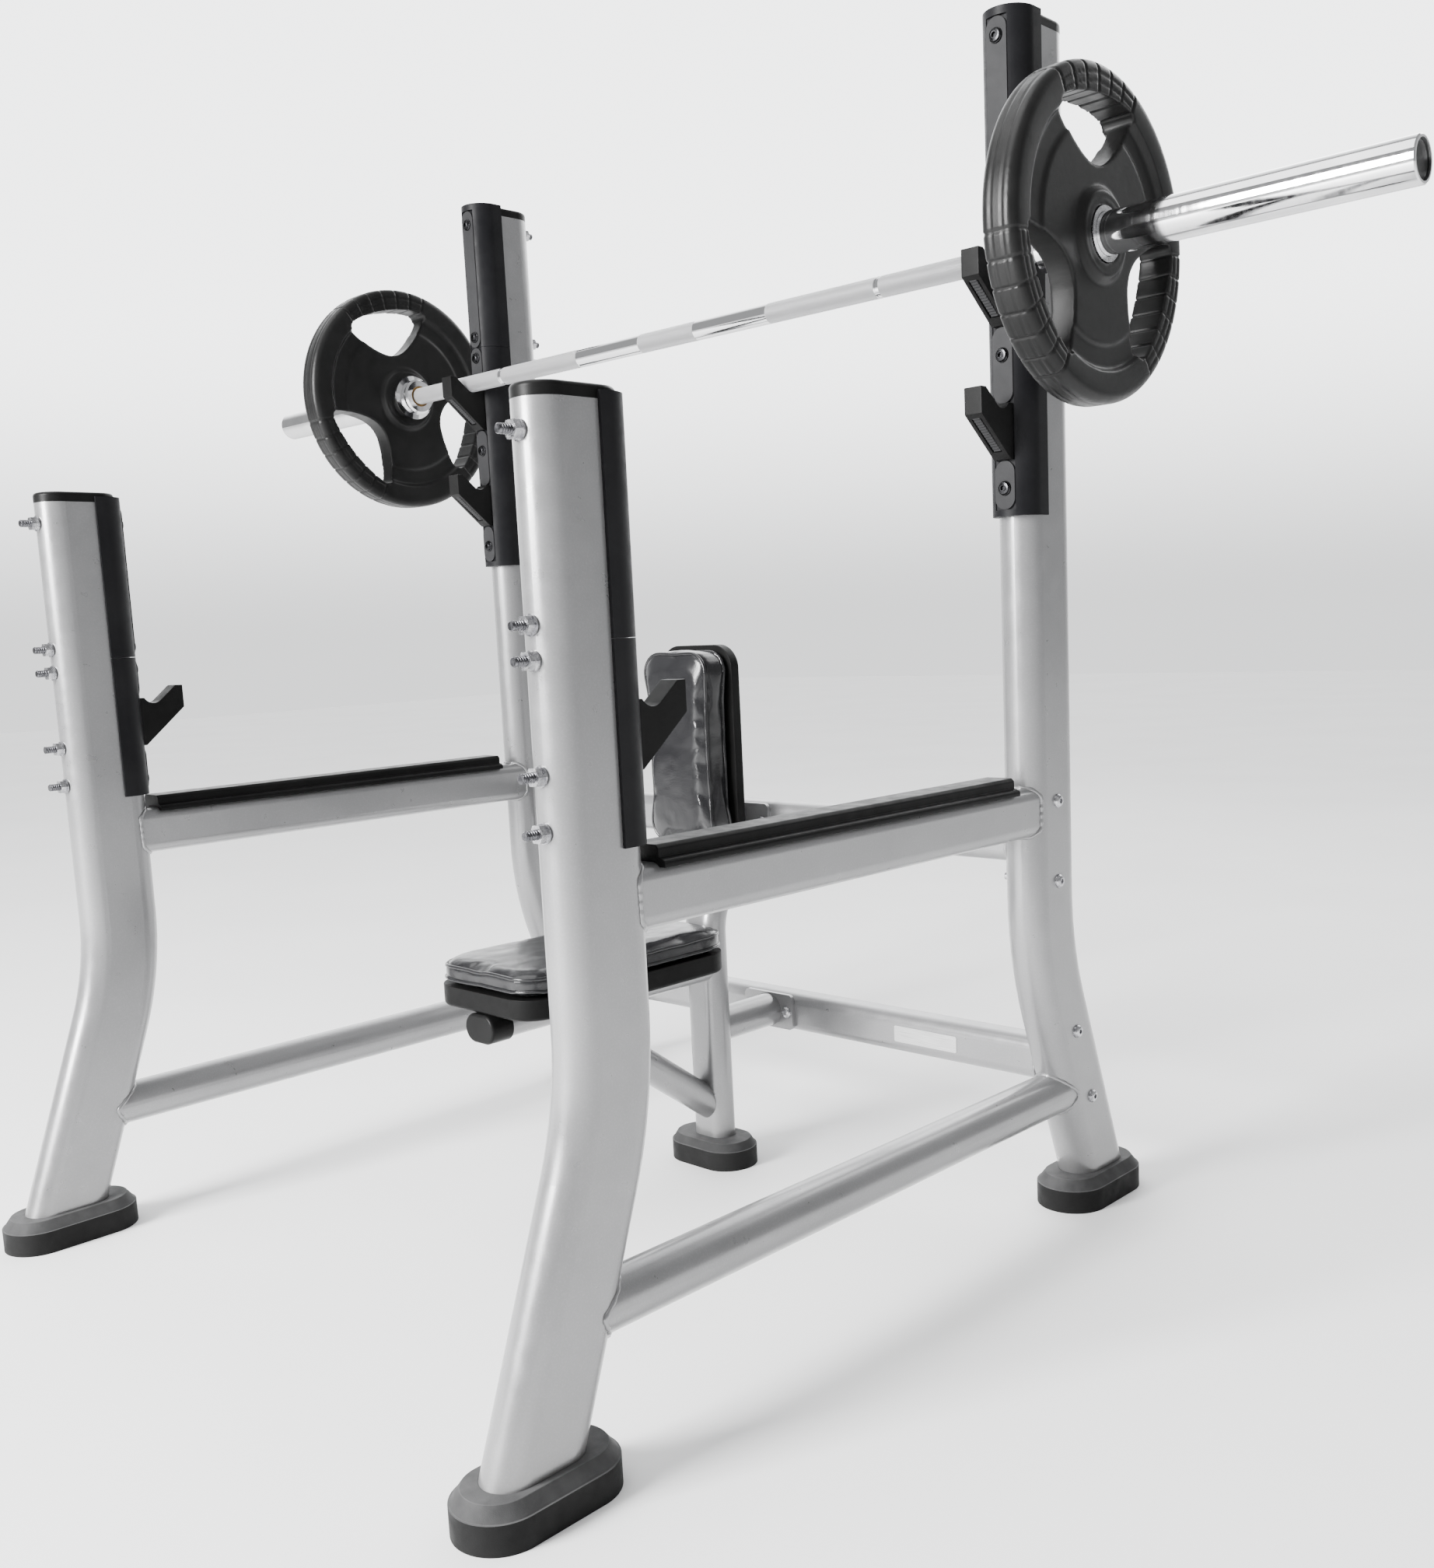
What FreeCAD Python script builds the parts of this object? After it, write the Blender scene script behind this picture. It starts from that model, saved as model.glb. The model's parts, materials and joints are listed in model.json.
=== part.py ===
import FreeCAD, Part
import math
import os

import Sketcher
from FreeCAD import Placement, Rotation, Vector

# Olympic seated press bench, in millimetres, +Z up.  X runs along the bar, the lifter faces -Y
# and the origin is on the floor under the middle of the bar.  Left is -X, right is +X.

doc = FreeCAD.newDocument("press_bench")
sheet = doc.addObject("Spreadsheet::Sheet", "sheet")

# ---------------------------------------------------------------- driving sizes
SIZES = """
frame_middle 34     the frame's middle plane, off the bar's by how the bar lies in its hooks
half_track 544      middle of the frame to the middle plane of each side
half_base 396       middle of the frame to each column
tube_round 30       round end of the flat-sided oval column tube
tube_flat 25        half of the tube's flat side
tube_wall 3
front_top 1056      top of the front posts
rear_top 1562       top of the uprights
splay_level 378     height where the leg's centre line turns
splay_degrees 19.8
splay_radius 480
leg_bottom 12
upper_rail_low 546
upper_rail_tall 66
upper_rail_wide 56
lower_rail_level 174
lower_rail_round 30
cover_low 607
cover_top 630
cover_front -328
cover_back 305
foot_long 188
foot_wide 100
foot_skirt 32
foot_tall 46
cap_tall 14
rear_proud 12       how far the upright guards stand off the tube
front_proud 8
guard_round 34
groove_wide 30
groove_deep 5
insert_thick 3
upright_guard_low 965
upright_seam 1340
upright_guard_top 1578
front_guard_low 634
front_seam 835
front_guard_top 1064
bar_level 1276
bar_back 310        bar axis behind the middle of the frame
bar_round 14
hook_pitch 165
hook_wide 26
hook_reach 65
front_hook_level 767
upper_cross_level 536
lower_cross_level 212
cross_wide 50
cross_tall 61
cross_plate 6
cross_bolt_pitch 109
bench_post_back 288.6
bench_post_wide 70
bench_post_deep 45
bench_post_top 770
bench_bend_level 366
bench_bend_radius 108
bench_bend_degrees 39.4
seat_front -158
seat_back 244
seat_half 118
seat_top 397
seat_pad_low 363
seat_board_low 333
seat_tube_low 295
seat_tube_wide 60
pad_half 75
pad_front 242
pad_back 296
pad_low 506
pad_top 814
board_back 314.8
sleeve_round 25
sleeve_start 688
sleeve_end 1100
collar_start 655
plate_round 192
plate_start 690
plate_thick 50
"""

for row, line in enumerate(SIZES.strip().splitlines(), start=1):
    words = line.split()
    sheet.set("A%d" % row, words[0])
    sheet.set("B%d" % row, words[1])
    sheet.setAlias("B%d" % row, words[0])
doc.recompute()


class Size:
    """A number together with the spreadsheet expression that it comes from."""

    def __init__(self, value, text):
        self.value = float(value)
        self.text = text

    def __add__(self, other):
        other = as_size(other)
        return Size(self.value + other.value, "(%s + %s)" % (self.text, other.text))

    def __sub__(self, other):
        other = as_size(other)
        return Size(self.value - other.value, "(%s - %s)" % (self.text, other.text))

    def __rsub__(self, other):
        return as_size(other) - self

    def __mul__(self, other):
        other = as_size(other)
        return Size(self.value * other.value, "(%s * %s)" % (self.text, other.text))

    def __truediv__(self, other):
        other = as_size(other)
        return Size(self.value / other.value, "(%s / %s)" % (self.text, other.text))

    def __neg__(self):
        return Size(-self.value, "(0 - %s)" % self.text)

    __radd__ = __add__
    __rmul__ = __mul__


def as_size(value):
    if isinstance(value, Size):
        return value
    return Size(value, "%.6g" % value if value >= 0 else "(0 - %.6g)" % -value)


def cell(name):
    return Size(sheet.get(name), "sheet." + name)


def bind(thing, prop, amount):
    thing.setExpression(prop, as_size(amount).text)


# ---------------------------------------------------------------- sketch and feature helpers
def new_body(name, x=0.0, y=0.0, z=0.0, turn=0.0):
    body = doc.addObject("PartDesign::Body", name)
    body.Label = name
    body.Placement = Placement(Vector(), Rotation(Vector(0, 0, 1), turn))
    for axis, amount in zip("xyz", (x, y, z)):
        bind(body, "Placement.Base." + axis, amount)
    return body


def new_sketch(body, name, role="XY_Plane", offset=0.0):
    sketch = body.newObject("Sketcher::SketchObject", name)
    plane = [item for item in body.Origin.OriginFeatures if item.Role == role][0]
    sketch.AttachmentSupport = (plane, [""])
    sketch.MapMode = "FlatFace"
    offset = as_size(offset)
    sketch.AttachmentOffset = Placement(Vector(0, 0, offset.value), Rotation())
    bind(sketch, "AttachmentOffset.Base.z", offset)
    return sketch


def fix_point(sketch, geometry, corner, x, y):
    for kind, amount in (("DistanceX", x), ("DistanceY", y)):
        amount = as_size(amount)
        index = sketch.addConstraint(
            Sketcher.Constraint(kind, -1, 1, geometry, corner, amount.value))
        bind(sketch, "Constraints[%d]" % index, amount)


def fix_radius(sketch, geometry, radius):
    radius = as_size(radius)
    index = sketch.addConstraint(Sketcher.Constraint("Radius", geometry, radius.value))
    bind(sketch, "Constraints[%d]" % index, radius)


def draw_circle(sketch, x, y, radius):
    x, y, radius = as_size(x), as_size(y), as_size(radius)
    ring = sketch.addGeometry(
        Part.Circle(Vector(x.value, y.value, 0), Vector(0, 0, 1), radius.value))
    fix_point(sketch, ring, 3, x, y)
    fix_radius(sketch, ring, radius)


def draw_outline(sketch, points):
    """A closed outline of straight lines through the points."""
    points = [(as_size(x), as_size(y)) for x, y in points]
    lines = []
    for first, second in zip(points, points[1:] + points[:1]):
        start = Vector(first[0].value, first[1].value, 0)
        end = Vector(second[0].value, second[1].value, 0)
        lines.append(sketch.addGeometry(Part.LineSegment(start, end)))
    for line, following in zip(lines, lines[1:] + lines[:1]):
        sketch.addConstraint(Sketcher.Constraint("Coincident", line, 2, following, 1))
    for line, (x, y) in zip(lines, points):
        fix_point(sketch, line, 1, x, y)


def draw_box(sketch, x_low, x_high, y_low, y_high):
    draw_outline(sketch, [(x_low, y_low), (x_high, y_low), (x_high, y_high), (x_low, y_high)])


def draw_cut_corner_box(sketch, half_wide, y_low, y_high, corner):
    """A box outline with its four corners cut off at 45 degrees."""
    draw_outline(sketch, [
        (-(half_wide - corner), y_low), (half_wide - corner, y_low), (half_wide, y_low + corner),
        (half_wide, y_high - corner), (half_wide - corner, y_high), (-(half_wide - corner), y_high),
        (-half_wide, y_high - corner), (-half_wide, y_low + corner)])


def draw_slot(sketch, half_run, radius, x=0.0, y=0.0, along_y=True):
    """Two parallel lines closed by two half circles."""
    half_run, radius, x, y = as_size(half_run), as_size(radius), as_size(x), as_size(y)
    run, size = half_run.value, radius.value
    ends = ((x, y + half_run), (x, y - half_run)) if along_y else ((x - half_run, y), (x + half_run, y))
    base = 0.0 if along_y else math.pi / 2
    turn = Rotation(Vector(0, 0, 1), math.degrees(base))
    middle = Vector(x.value, y.value, 0)

    def place(across, along):
        return middle + turn.multVec(Vector(across, along, 0))

    first = sketch.addGeometry(Part.LineSegment(place(size, -run), place(size, run)))
    cap = sketch.addGeometry(Part.ArcOfCircle(
        Part.Circle(place(0, run), Vector(0, 0, 1), size), base, base + math.pi))
    second = sketch.addGeometry(Part.LineSegment(place(-size, run), place(-size, -run)))
    heel = sketch.addGeometry(Part.ArcOfCircle(
        Part.Circle(place(0, -run), Vector(0, 0, 1), size), base + math.pi, base + 2 * math.pi))
    sketch.addConstraint([
        Sketcher.Constraint("Tangent", first, 2, cap, 1),
        Sketcher.Constraint("Tangent", cap, 2, second, 1),
        Sketcher.Constraint("Tangent", second, 2, heel, 1),
        Sketcher.Constraint("Tangent", heel, 2, first, 1),
        Sketcher.Constraint("Equal", cap, heel)])
    fix_radius(sketch, cap, radius)
    fix_point(sketch, cap, 3, *ends[0])
    fix_point(sketch, heel, 3, *ends[1])


def add_pad(body, sketch, length, midplane=False, backwards=False):
    pad = body.newObject("PartDesign::Pad", body.Name + "_pad_" + sketch.Name)
    pad.Profile = sketch
    pad.Midplane = midplane
    pad.Reversed = backwards
    bind(pad, "Length", length)
    doc.recompute()
    return pad


def add_pocket(body, sketch, depth=None, backwards=False):
    """Cut the sketch out of the body: right through both ways, or to a depth."""
    before = body.Shape.Volume
    pocket = body.newObject("PartDesign::Pocket", body.Name + "_cut_" + sketch.Name)
    pocket.Profile = sketch
    if depth is None:
        pocket.Type = "ThroughAll"
        pocket.Midplane = True
    else:
        pocket.Reversed = backwards
        bind(pocket, "Length", depth)
    doc.recompute()
    if body.Shape.Volume > before - 1.0:
        raise RuntimeError("pocket %s cuts nothing" % pocket.Name)
    return pocket


def add_turned(body, points, role="XY_Plane", axis="H_Axis"):
    """Turn an outline of (along, radius) points about the sketch's own axis."""
    sketch = new_sketch(body, body.Name + "_turned", role)
    draw_outline(sketch, points)
    turned = body.newObject("PartDesign::Revolution", body.Name + "_revolution")
    turned.Profile = sketch
    turned.ReferenceAxis = (sketch, [axis])
    turned.Angle = 360
    doc.recompute()
    return turned


def add_loft(body, lower, upper):
    loft = body.newObject("PartDesign::AdditiveLoft", body.Name + "_loft_" + lower.Name)
    loft.Profile = lower
    loft.Sections = [upper]
    loft.Ruled = True
    doc.recompute()
    return loft


def round_edges(body, radius, wanted):
    """Fillet the edges of the body's tip that the test picks."""
    names = []
    for index, edge in enumerate(body.Tip.Shape.Edges, start=1):
        box = edge.BoundBox
        if wanted(box):
            names.append("Edge%d" % index)
    fillet = body.newObject("PartDesign::Fillet", body.Name + "_fillet")
    fillet.Base = (body.Group[-2], names)
    bind(fillet, "Radius", radius)
    doc.recompute()
    return fillet


def cut_from(name, base, tools):
    """Cut a piece to the shape of its neighbours."""
    current = base
    for index, tool in enumerate(tools):
        cut = doc.addObject("Part::Cut", name if index == len(tools) - 1 else name + "_step%d" % index)
        cut.Base = current
        cut.Tool = tool
        current = cut
    current.Label = name
    doc.recompute()
    return current


def new_block(name, x, y, z, across, deep, tall):
    """A plain box between low corner x, y, z and its three sizes."""
    block = doc.addObject("Part::Box", name)
    for prop, amount in (("Length", across), ("Width", deep), ("Height", tall)):
        bind(block, prop, amount)
    for axis, amount in zip("xyz", (x, y, z)):
        bind(block, "Placement.Base." + axis, amount)
    doc.recompute()
    return block


def new_rod(name, radius, length, start, direction):
    rod = doc.addObject("Part::Cylinder", name)
    bind(rod, "Radius", radius)
    bind(rod, "Height", length)
    rod.Placement = Placement(Vector(), Rotation(Vector(0, 0, 1), Vector(*direction)))
    for axis, amount in zip("xyz", start):
        bind(rod, "Placement.Base." + axis, amount)
    doc.recompute()
    return rod


def new_group(name, shapes):
    """Identical small parts that share one node, each a solid of its own."""
    group = doc.addObject("Part::Feature", name)
    group.Shape = Part.makeCompound(shapes)
    group.Label = name
    return group


def placed(shape, x, y, z, turn=0.0, about=(0, 0, 1)):
    copy = shape.copy()
    copy.Placement = Placement(Vector(x, y, z), Rotation(Vector(*about), turn)).multiply(shape.Placement)
    return copy


NODES = []


def keep(thing):
    NODES.append(thing)
    return thing


SIDES = (("left", -1.0), ("right", 1.0))
middle = cell("frame_middle")
half_track = cell("half_track")
half_base = cell("half_base")
tube_round = cell("tube_round")
tube_flat = cell("tube_flat")
tube_wall = cell("tube_wall")
tube_reach = tube_flat + tube_round
splay = math.radians(sheet.get("splay_degrees"))

# Bolt heights of the guards, from the top down
REAR_BOLTS = (1545.0, 1358.0, 1323.0, 1165.0, 1000.0)
FRONT_BOLTS = (1027.0, 851.0, 818.0, 656.0)
HOOK_STUD = 710.0


# ---------------------------------------------------------------- columns
# Front posts and uprights are one flat-sided oval tube, straight above and splayed to a foot.
# In a column's own frame the guarded side faces +Y and the leg leans towards -Y.
def splay_path(body, top):
    """The tube's centre line: straight down, one bend, then out to below the floor."""
    path = new_sketch(body, body.Name + "_path", "YZ_Plane")
    level = cell("splay_level")
    radius = cell("splay_radius")
    tangent = radius * math.tan(splay / 2)
    end_y = -(level + 20.0) * math.tan(splay)
    bend_top = level + tangent
    turn = tangent.value
    low_y, low_z = -turn * math.sin(splay), level.value - turn * math.cos(splay)
    straight = path.addGeometry(Part.LineSegment(
        Vector(0, top.value, 0), Vector(0, bend_top.value, 0)))
    bend = path.addGeometry(Part.ArcOfCircle(
        Part.Circle(Vector(-radius.value, bend_top.value, 0), Vector(0, 0, 1), radius.value),
        -splay, 0))
    leg = path.addGeometry(Part.LineSegment(Vector(low_y, low_z, 0), Vector(end_y.value, -20, 0)))
    path.addConstraint([
        Sketcher.Constraint("Tangent", straight, 2, bend, 2),
        Sketcher.Constraint("Tangent", bend, 1, leg, 1)])
    fix_point(path, straight, 1, 0.0, top)
    fix_point(path, leg, 2, end_y, -20.0)
    fix_radius(path, bend, radius)
    index = path.addConstraint(Sketcher.Constraint("Vertical", straight))
    return path


def column_solid(name, top, x, y, turn, wall=None):
    """The column's tube: a solid bar of its outline, or a tube when a wall is given."""
    body = new_body(name, x, y, 0.0, turn)
    path = splay_path(body, top)
    outline = new_sketch(body, name + "_outline", "XY_Plane", top)
    draw_slot(outline, tube_flat, tube_round)
    pipe = body.newObject("PartDesign::AdditivePipe", name + "_pipe")
    pipe.Profile = outline
    pipe.Spine = path
    doc.recompute()
    if wall is not None:
        inside = new_sketch(body, name + "_inside", "XY_Plane", top)
        draw_slot(inside, tube_flat, tube_round - wall)
        bore = body.newObject("PartDesign::SubtractivePipe", name + "_bore")
        bore.Profile = inside
        bore.Spine = path
        doc.recompute()
    below = new_sketch(body, name + "_below", "XY_Plane", cell("leg_bottom"))
    draw_box(below, -80.0, 80.0, -260.0, 40.0)
    add_pocket(body, below, 60.0)
    return body


def cross_bolt_places(level):
    """Bolt centres (y, z) in a column's own frame, two per cross member, along the leg."""
    pitch = cell("cross_bolt_pitch").value
    drop = max(0.0, sheet.get("splay_level") - level)
    lean = splay if drop > 0 else 0.0
    middle = -drop * math.tan(splay)
    return [(middle + step * math.sin(lean), level + step * math.cos(lean))
            for step in (-pitch / 2, pitch / 2)]


UPPER_CROSS_BOLTS = cross_bolt_places(sheet.get("upper_cross_level"))
LOWER_CROSS_BOLTS = cross_bolt_places(sheet.get("lower_cross_level"))

envelopes = {}
for side, sign in SIDES:
    track = middle + half_track * sign
    front = column_solid(side + "_front_post", cell("front_top"), track, -half_base, 0.0, tube_wall)
    holes = new_sketch(front, side + "_front_bolt_holes", "XZ_Plane")
    for level in FRONT_BOLTS + (HOOK_STUD,):
        draw_circle(holes, 0.0, level, 5.3)
    add_pocket(front, holes)
    keep(front)

    rear = column_solid(side + "_upright", cell("rear_top"), track, half_base, 180.0, tube_wall)
    holes = new_sketch(rear, side + "_rear_bolt_holes", "XZ_Plane")
    for level in REAR_BOLTS:
        draw_circle(holes, 0.0, level, 5.3)
    add_pocket(rear, holes)
    holes = new_sketch(rear, side + "_cross_bolt_holes", "YZ_Plane")
    for y, z in UPPER_CROSS_BOLTS + LOWER_CROSS_BOLTS:
        draw_circle(holes, y, z, 5.3)
    add_pocket(rear, holes)
    keep(rear)

    envelopes[side, "front"] = column_solid(
        side + "_front_envelope", cell("front_top"), track, -half_base, 0.0)
    envelopes[side, "rear"] = column_solid(
        side + "_rear_envelope", cell("rear_top"), track, half_base, 180.0)

# ---------------------------------------------------------------- rails and their rubber covers
for side, sign in SIDES:
    track = middle + half_track * sign
    wide = cell("upper_rail_wide") / 2
    low = cell("upper_rail_low")
    tall = cell("upper_rail_tall")

    rail = new_body(side + "_upper_rail_bar", track, -half_base, low)
    section = new_sketch(rail, side + "_upper_rail_section", "XZ_Plane")
    draw_box(section, -wide, wide, 0.0, tall)
    add_pad(rail, section, half_base * 2, backwards=True)
    round_edges(rail, 16.0, lambda box: box.YLength > 700)
    hollow = new_sketch(rail, side + "_upper_rail_hollow", "XZ_Plane")
    draw_cut_corner_box(hollow, wide - tube_wall, tube_wall, tall - tube_wall, 8.0)
    rail_block = new_body(side + "_upper_rail_block", track, -half_base, low)
    section = new_sketch(rail_block, side + "_rail_block_section", "XZ_Plane")
    draw_box(section, -wide, wide, 0.0, tall)
    add_pad(rail_block, section, half_base * 2, backwards=True)
    round_edges(rail_block, 16.0, lambda box: box.YLength > 700)
    add_pocket(rail, hollow)
    keep(cut_from(side + "_upper_rail", rail, [envelopes[side, "front"], envelopes[side, "rear"]]))

    lower = new_body(side + "_lower_rail_bar", track, -half_base - 90.0, cell("lower_rail_level"))
    section = new_sketch(lower, side + "_lower_rail_section", "XZ_Plane")
    draw_circle(section, 0.0, 0.0, cell("lower_rail_round"))
    draw_circle(section, 0.0, 0.0, cell("lower_rail_round") - tube_wall)
    add_pad(lower, section, half_base * 2 + 180.0, backwards=True)
    keep(cut_from(side + "_lower_rail", lower, [envelopes[side, "front"], envelopes[side, "rear"]]))

    # A moulded cover with a wide lower lip, pushed on over the top of the rail.
    cover = new_body(side + "_cover_block", track, cell("cover_front"), cell("cover_low"))
    section = new_sketch(cover, side + "_cover_section", "XZ_Plane")
    lip = wide + 4.0
    crown = cell("cover_top") - cell("cover_low")
    draw_outline(section, [
        (-lip, 0.0), (lip, 0.0), (lip, 5.0), (lip - 2.0, 8.0), (wide - 5.0, 10.0),
        (wide - 5.0, crown - 4.0), (wide - 9.0, crown), (-(wide - 9.0), crown),
        (-(wide - 5.0), crown - 4.0), (-(wide - 5.0), 10.0), (-(lip - 2.0), 8.0), (-lip, 5.0)])
    add_pad(cover, section, cell("cover_back") - cell("cover_front"), backwards=True)
    keep(cut_from(side + "_rail_cover", cover, [rail_block]))

# ---------------------------------------------------------------- feet and column caps
foot_shift = (sheet.get("splay_level") - 56.0) * math.tan(splay)


def rubber_foot(name, long, wide, skirt, tall, slope, x, y, turn, along_y=True):
    """A plain skirt with a deck that slopes in to the tube."""
    body = new_body(name + "_block", x, y, 0.0, turn)
    run = (long - wide) / 2
    base = new_sketch(body, name + "_base")
    draw_slot(base, run, wide / 2, along_y=along_y)
    add_pad(body, base, skirt)
    rim = new_sketch(body, name + "_rim", "XY_Plane", skirt)
    draw_slot(rim, run, wide / 2 - 1.5, along_y=along_y)
    deck = new_sketch(body, name + "_deck", "XY_Plane", tall)
    draw_slot(deck, run, wide / 2 - slope, along_y=along_y)
    add_loft(body, rim, deck)
    return body


for side, sign in SIDES:
    track = middle + half_track * sign
    for end, direction, turn in (("front", -1.0, 0.0), ("rear", 1.0, 180.0)):
        name = "%s_%s_foot" % (side, end)
        block = rubber_foot(name, cell("foot_long"), cell("foot_wide"), cell("foot_skirt"),
                            cell("foot_tall"), 12.0, track, (half_base + foot_shift) * direction, turn)
        keep(cut_from(name, block, [envelopes[side, end]]))

cap = new_body("cap_master")
base = new_sketch(cap, "cap_base")
draw_slot(base, tube_flat, tube_round)
add_pad(cap, base, cell("cap_tall"))
top_level = sheet.get("cap_tall")
round_edges(cap, 5.0, lambda box: box.ZMin > top_level - 0.1)
cap_shapes = []
for side, sign in SIDES:
    x = middle.value + sign * half_track.value
    cap_shapes.append(placed(cap.Shape, x, -half_base.value, sheet.get("front_top")))
    cap_shapes.append(placed(cap.Shape, x, half_base.value, sheet.get("rear_top")))
keep(new_group("column_caps", cap_shapes))


# ---------------------------------------------------------------- guards, inserts and hooks
def guard_piece(name, low, high, proud, x, y, turn):
    """A U-shaped moulding round the column's inner end, grooved for the inserts and hooks."""
    body = new_body(name, x, y, 0.0, turn)
    outer = cell("guard_round")
    centre = tube_reach + proud - outer
    inner = tube_round + 0.2
    plan = new_sketch(body, name + "_plan", "XY_Plane", low)
    start = 16.0
    right = plan.addGeometry(Part.LineSegment(
        Vector(outer.value, start, 0), Vector(outer.value, centre.value, 0)))
    nose = plan.addGeometry(Part.ArcOfCircle(
        Part.Circle(Vector(0, centre.value, 0), Vector(0, 0, 1), outer.value), 0, math.pi))
    left = plan.addGeometry(Part.LineSegment(
        Vector(-outer.value, centre.value, 0), Vector(-outer.value, start, 0)))
    left_lip = plan.addGeometry(Part.LineSegment(
        Vector(-outer.value, start, 0), Vector(-inner.value, start, 0)))
    inner_left = plan.addGeometry(Part.LineSegment(
        Vector(-inner.value, start, 0), Vector(-inner.value, tube_flat.value, 0)))
    bore = plan.addGeometry(Part.ArcOfCircle(
        Part.Circle(Vector(0, tube_flat.value, 0), Vector(0, 0, 1), inner.value), 0, math.pi))
    inner_right = plan.addGeometry(Part.LineSegment(
        Vector(inner.value, tube_flat.value, 0), Vector(inner.value, start, 0)))
    right_lip = plan.addGeometry(Part.LineSegment(
        Vector(inner.value, start, 0), Vector(outer.value, start, 0)))
    plan.addConstraint([
        Sketcher.Constraint("Tangent", right, 2, nose, 1),
        Sketcher.Constraint("Tangent", nose, 2, left, 1),
        Sketcher.Constraint("Coincident", left, 2, left_lip, 1),
        Sketcher.Constraint("Coincident", left_lip, 2, inner_left, 1),
        Sketcher.Constraint("Tangent", inner_left, 2, bore, 2),
        Sketcher.Constraint("Tangent", bore, 1, inner_right, 1),
        Sketcher.Constraint("Coincident", inner_right, 2, right_lip, 1),
        Sketcher.Constraint("Coincident", right_lip, 2, right, 1),
        Sketcher.Constraint("Vertical", right),
        Sketcher.Constraint("Vertical", inner_left)])
    fix_point(plan, nose, 3, 0.0, centre)
    fix_radius(plan, nose, outer)
    fix_point(plan, bore, 3, 0.0, tube_flat)
    fix_radius(plan, bore, inner)
    for line in (left, inner_right):
        index = plan.addConstraint(Sketcher.Constraint("DistanceY", -1, 1, line, 2, start))
        bind(plan, "Constraints[%d]" % index, start)
    for line in (left_lip, right_lip):
        plan.addConstraint(Sketcher.Constraint("Horizontal", line))
    add_pad(body, plan, high - low)
    face = tube_reach + proud - cell("groove_deep")
    groove = new_sketch(body, name + "_groove", "XY_Plane", low)
    half = cell("groove_wide") / 2
    draw_box(groove, -half, half, face, face + 20.0)
    return body, groove, face


def cut_groove(body, groove, low, high):
    bind(groove, "AttachmentOffset.Base.z", low)
    doc.recompute()
    add_pocket(body, groove, high - low, backwards=True)


def drill_guard(body, name, levels):
    holes = new_sketch(body, name + "_bolt_holes", "XZ_Plane")
    for level in levels:
        draw_circle(holes, 0.0, level, 5.3)
    add_pocket(body, holes)


def insert_strip(name, x, y, turn, face, low, high, levels):
    """A thin strip with round ends that fills the guard's groove between the hooks."""
    body = new_body(name, x, y, 0.0, turn)
    sketch = new_sketch(body, name + "_outline", "XZ_Plane", -face)
    radius = cell("groove_wide") / 2 - 0.3
    half_run = (high - low) / 2 - radius
    middle = (high + low) / 2
    draw_slot(sketch, half_run, radius, 0.0, middle)
    add_pad(body, sketch, cell("insert_thick"), backwards=True)
    drill_guard(body, name, levels)
    return body


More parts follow.
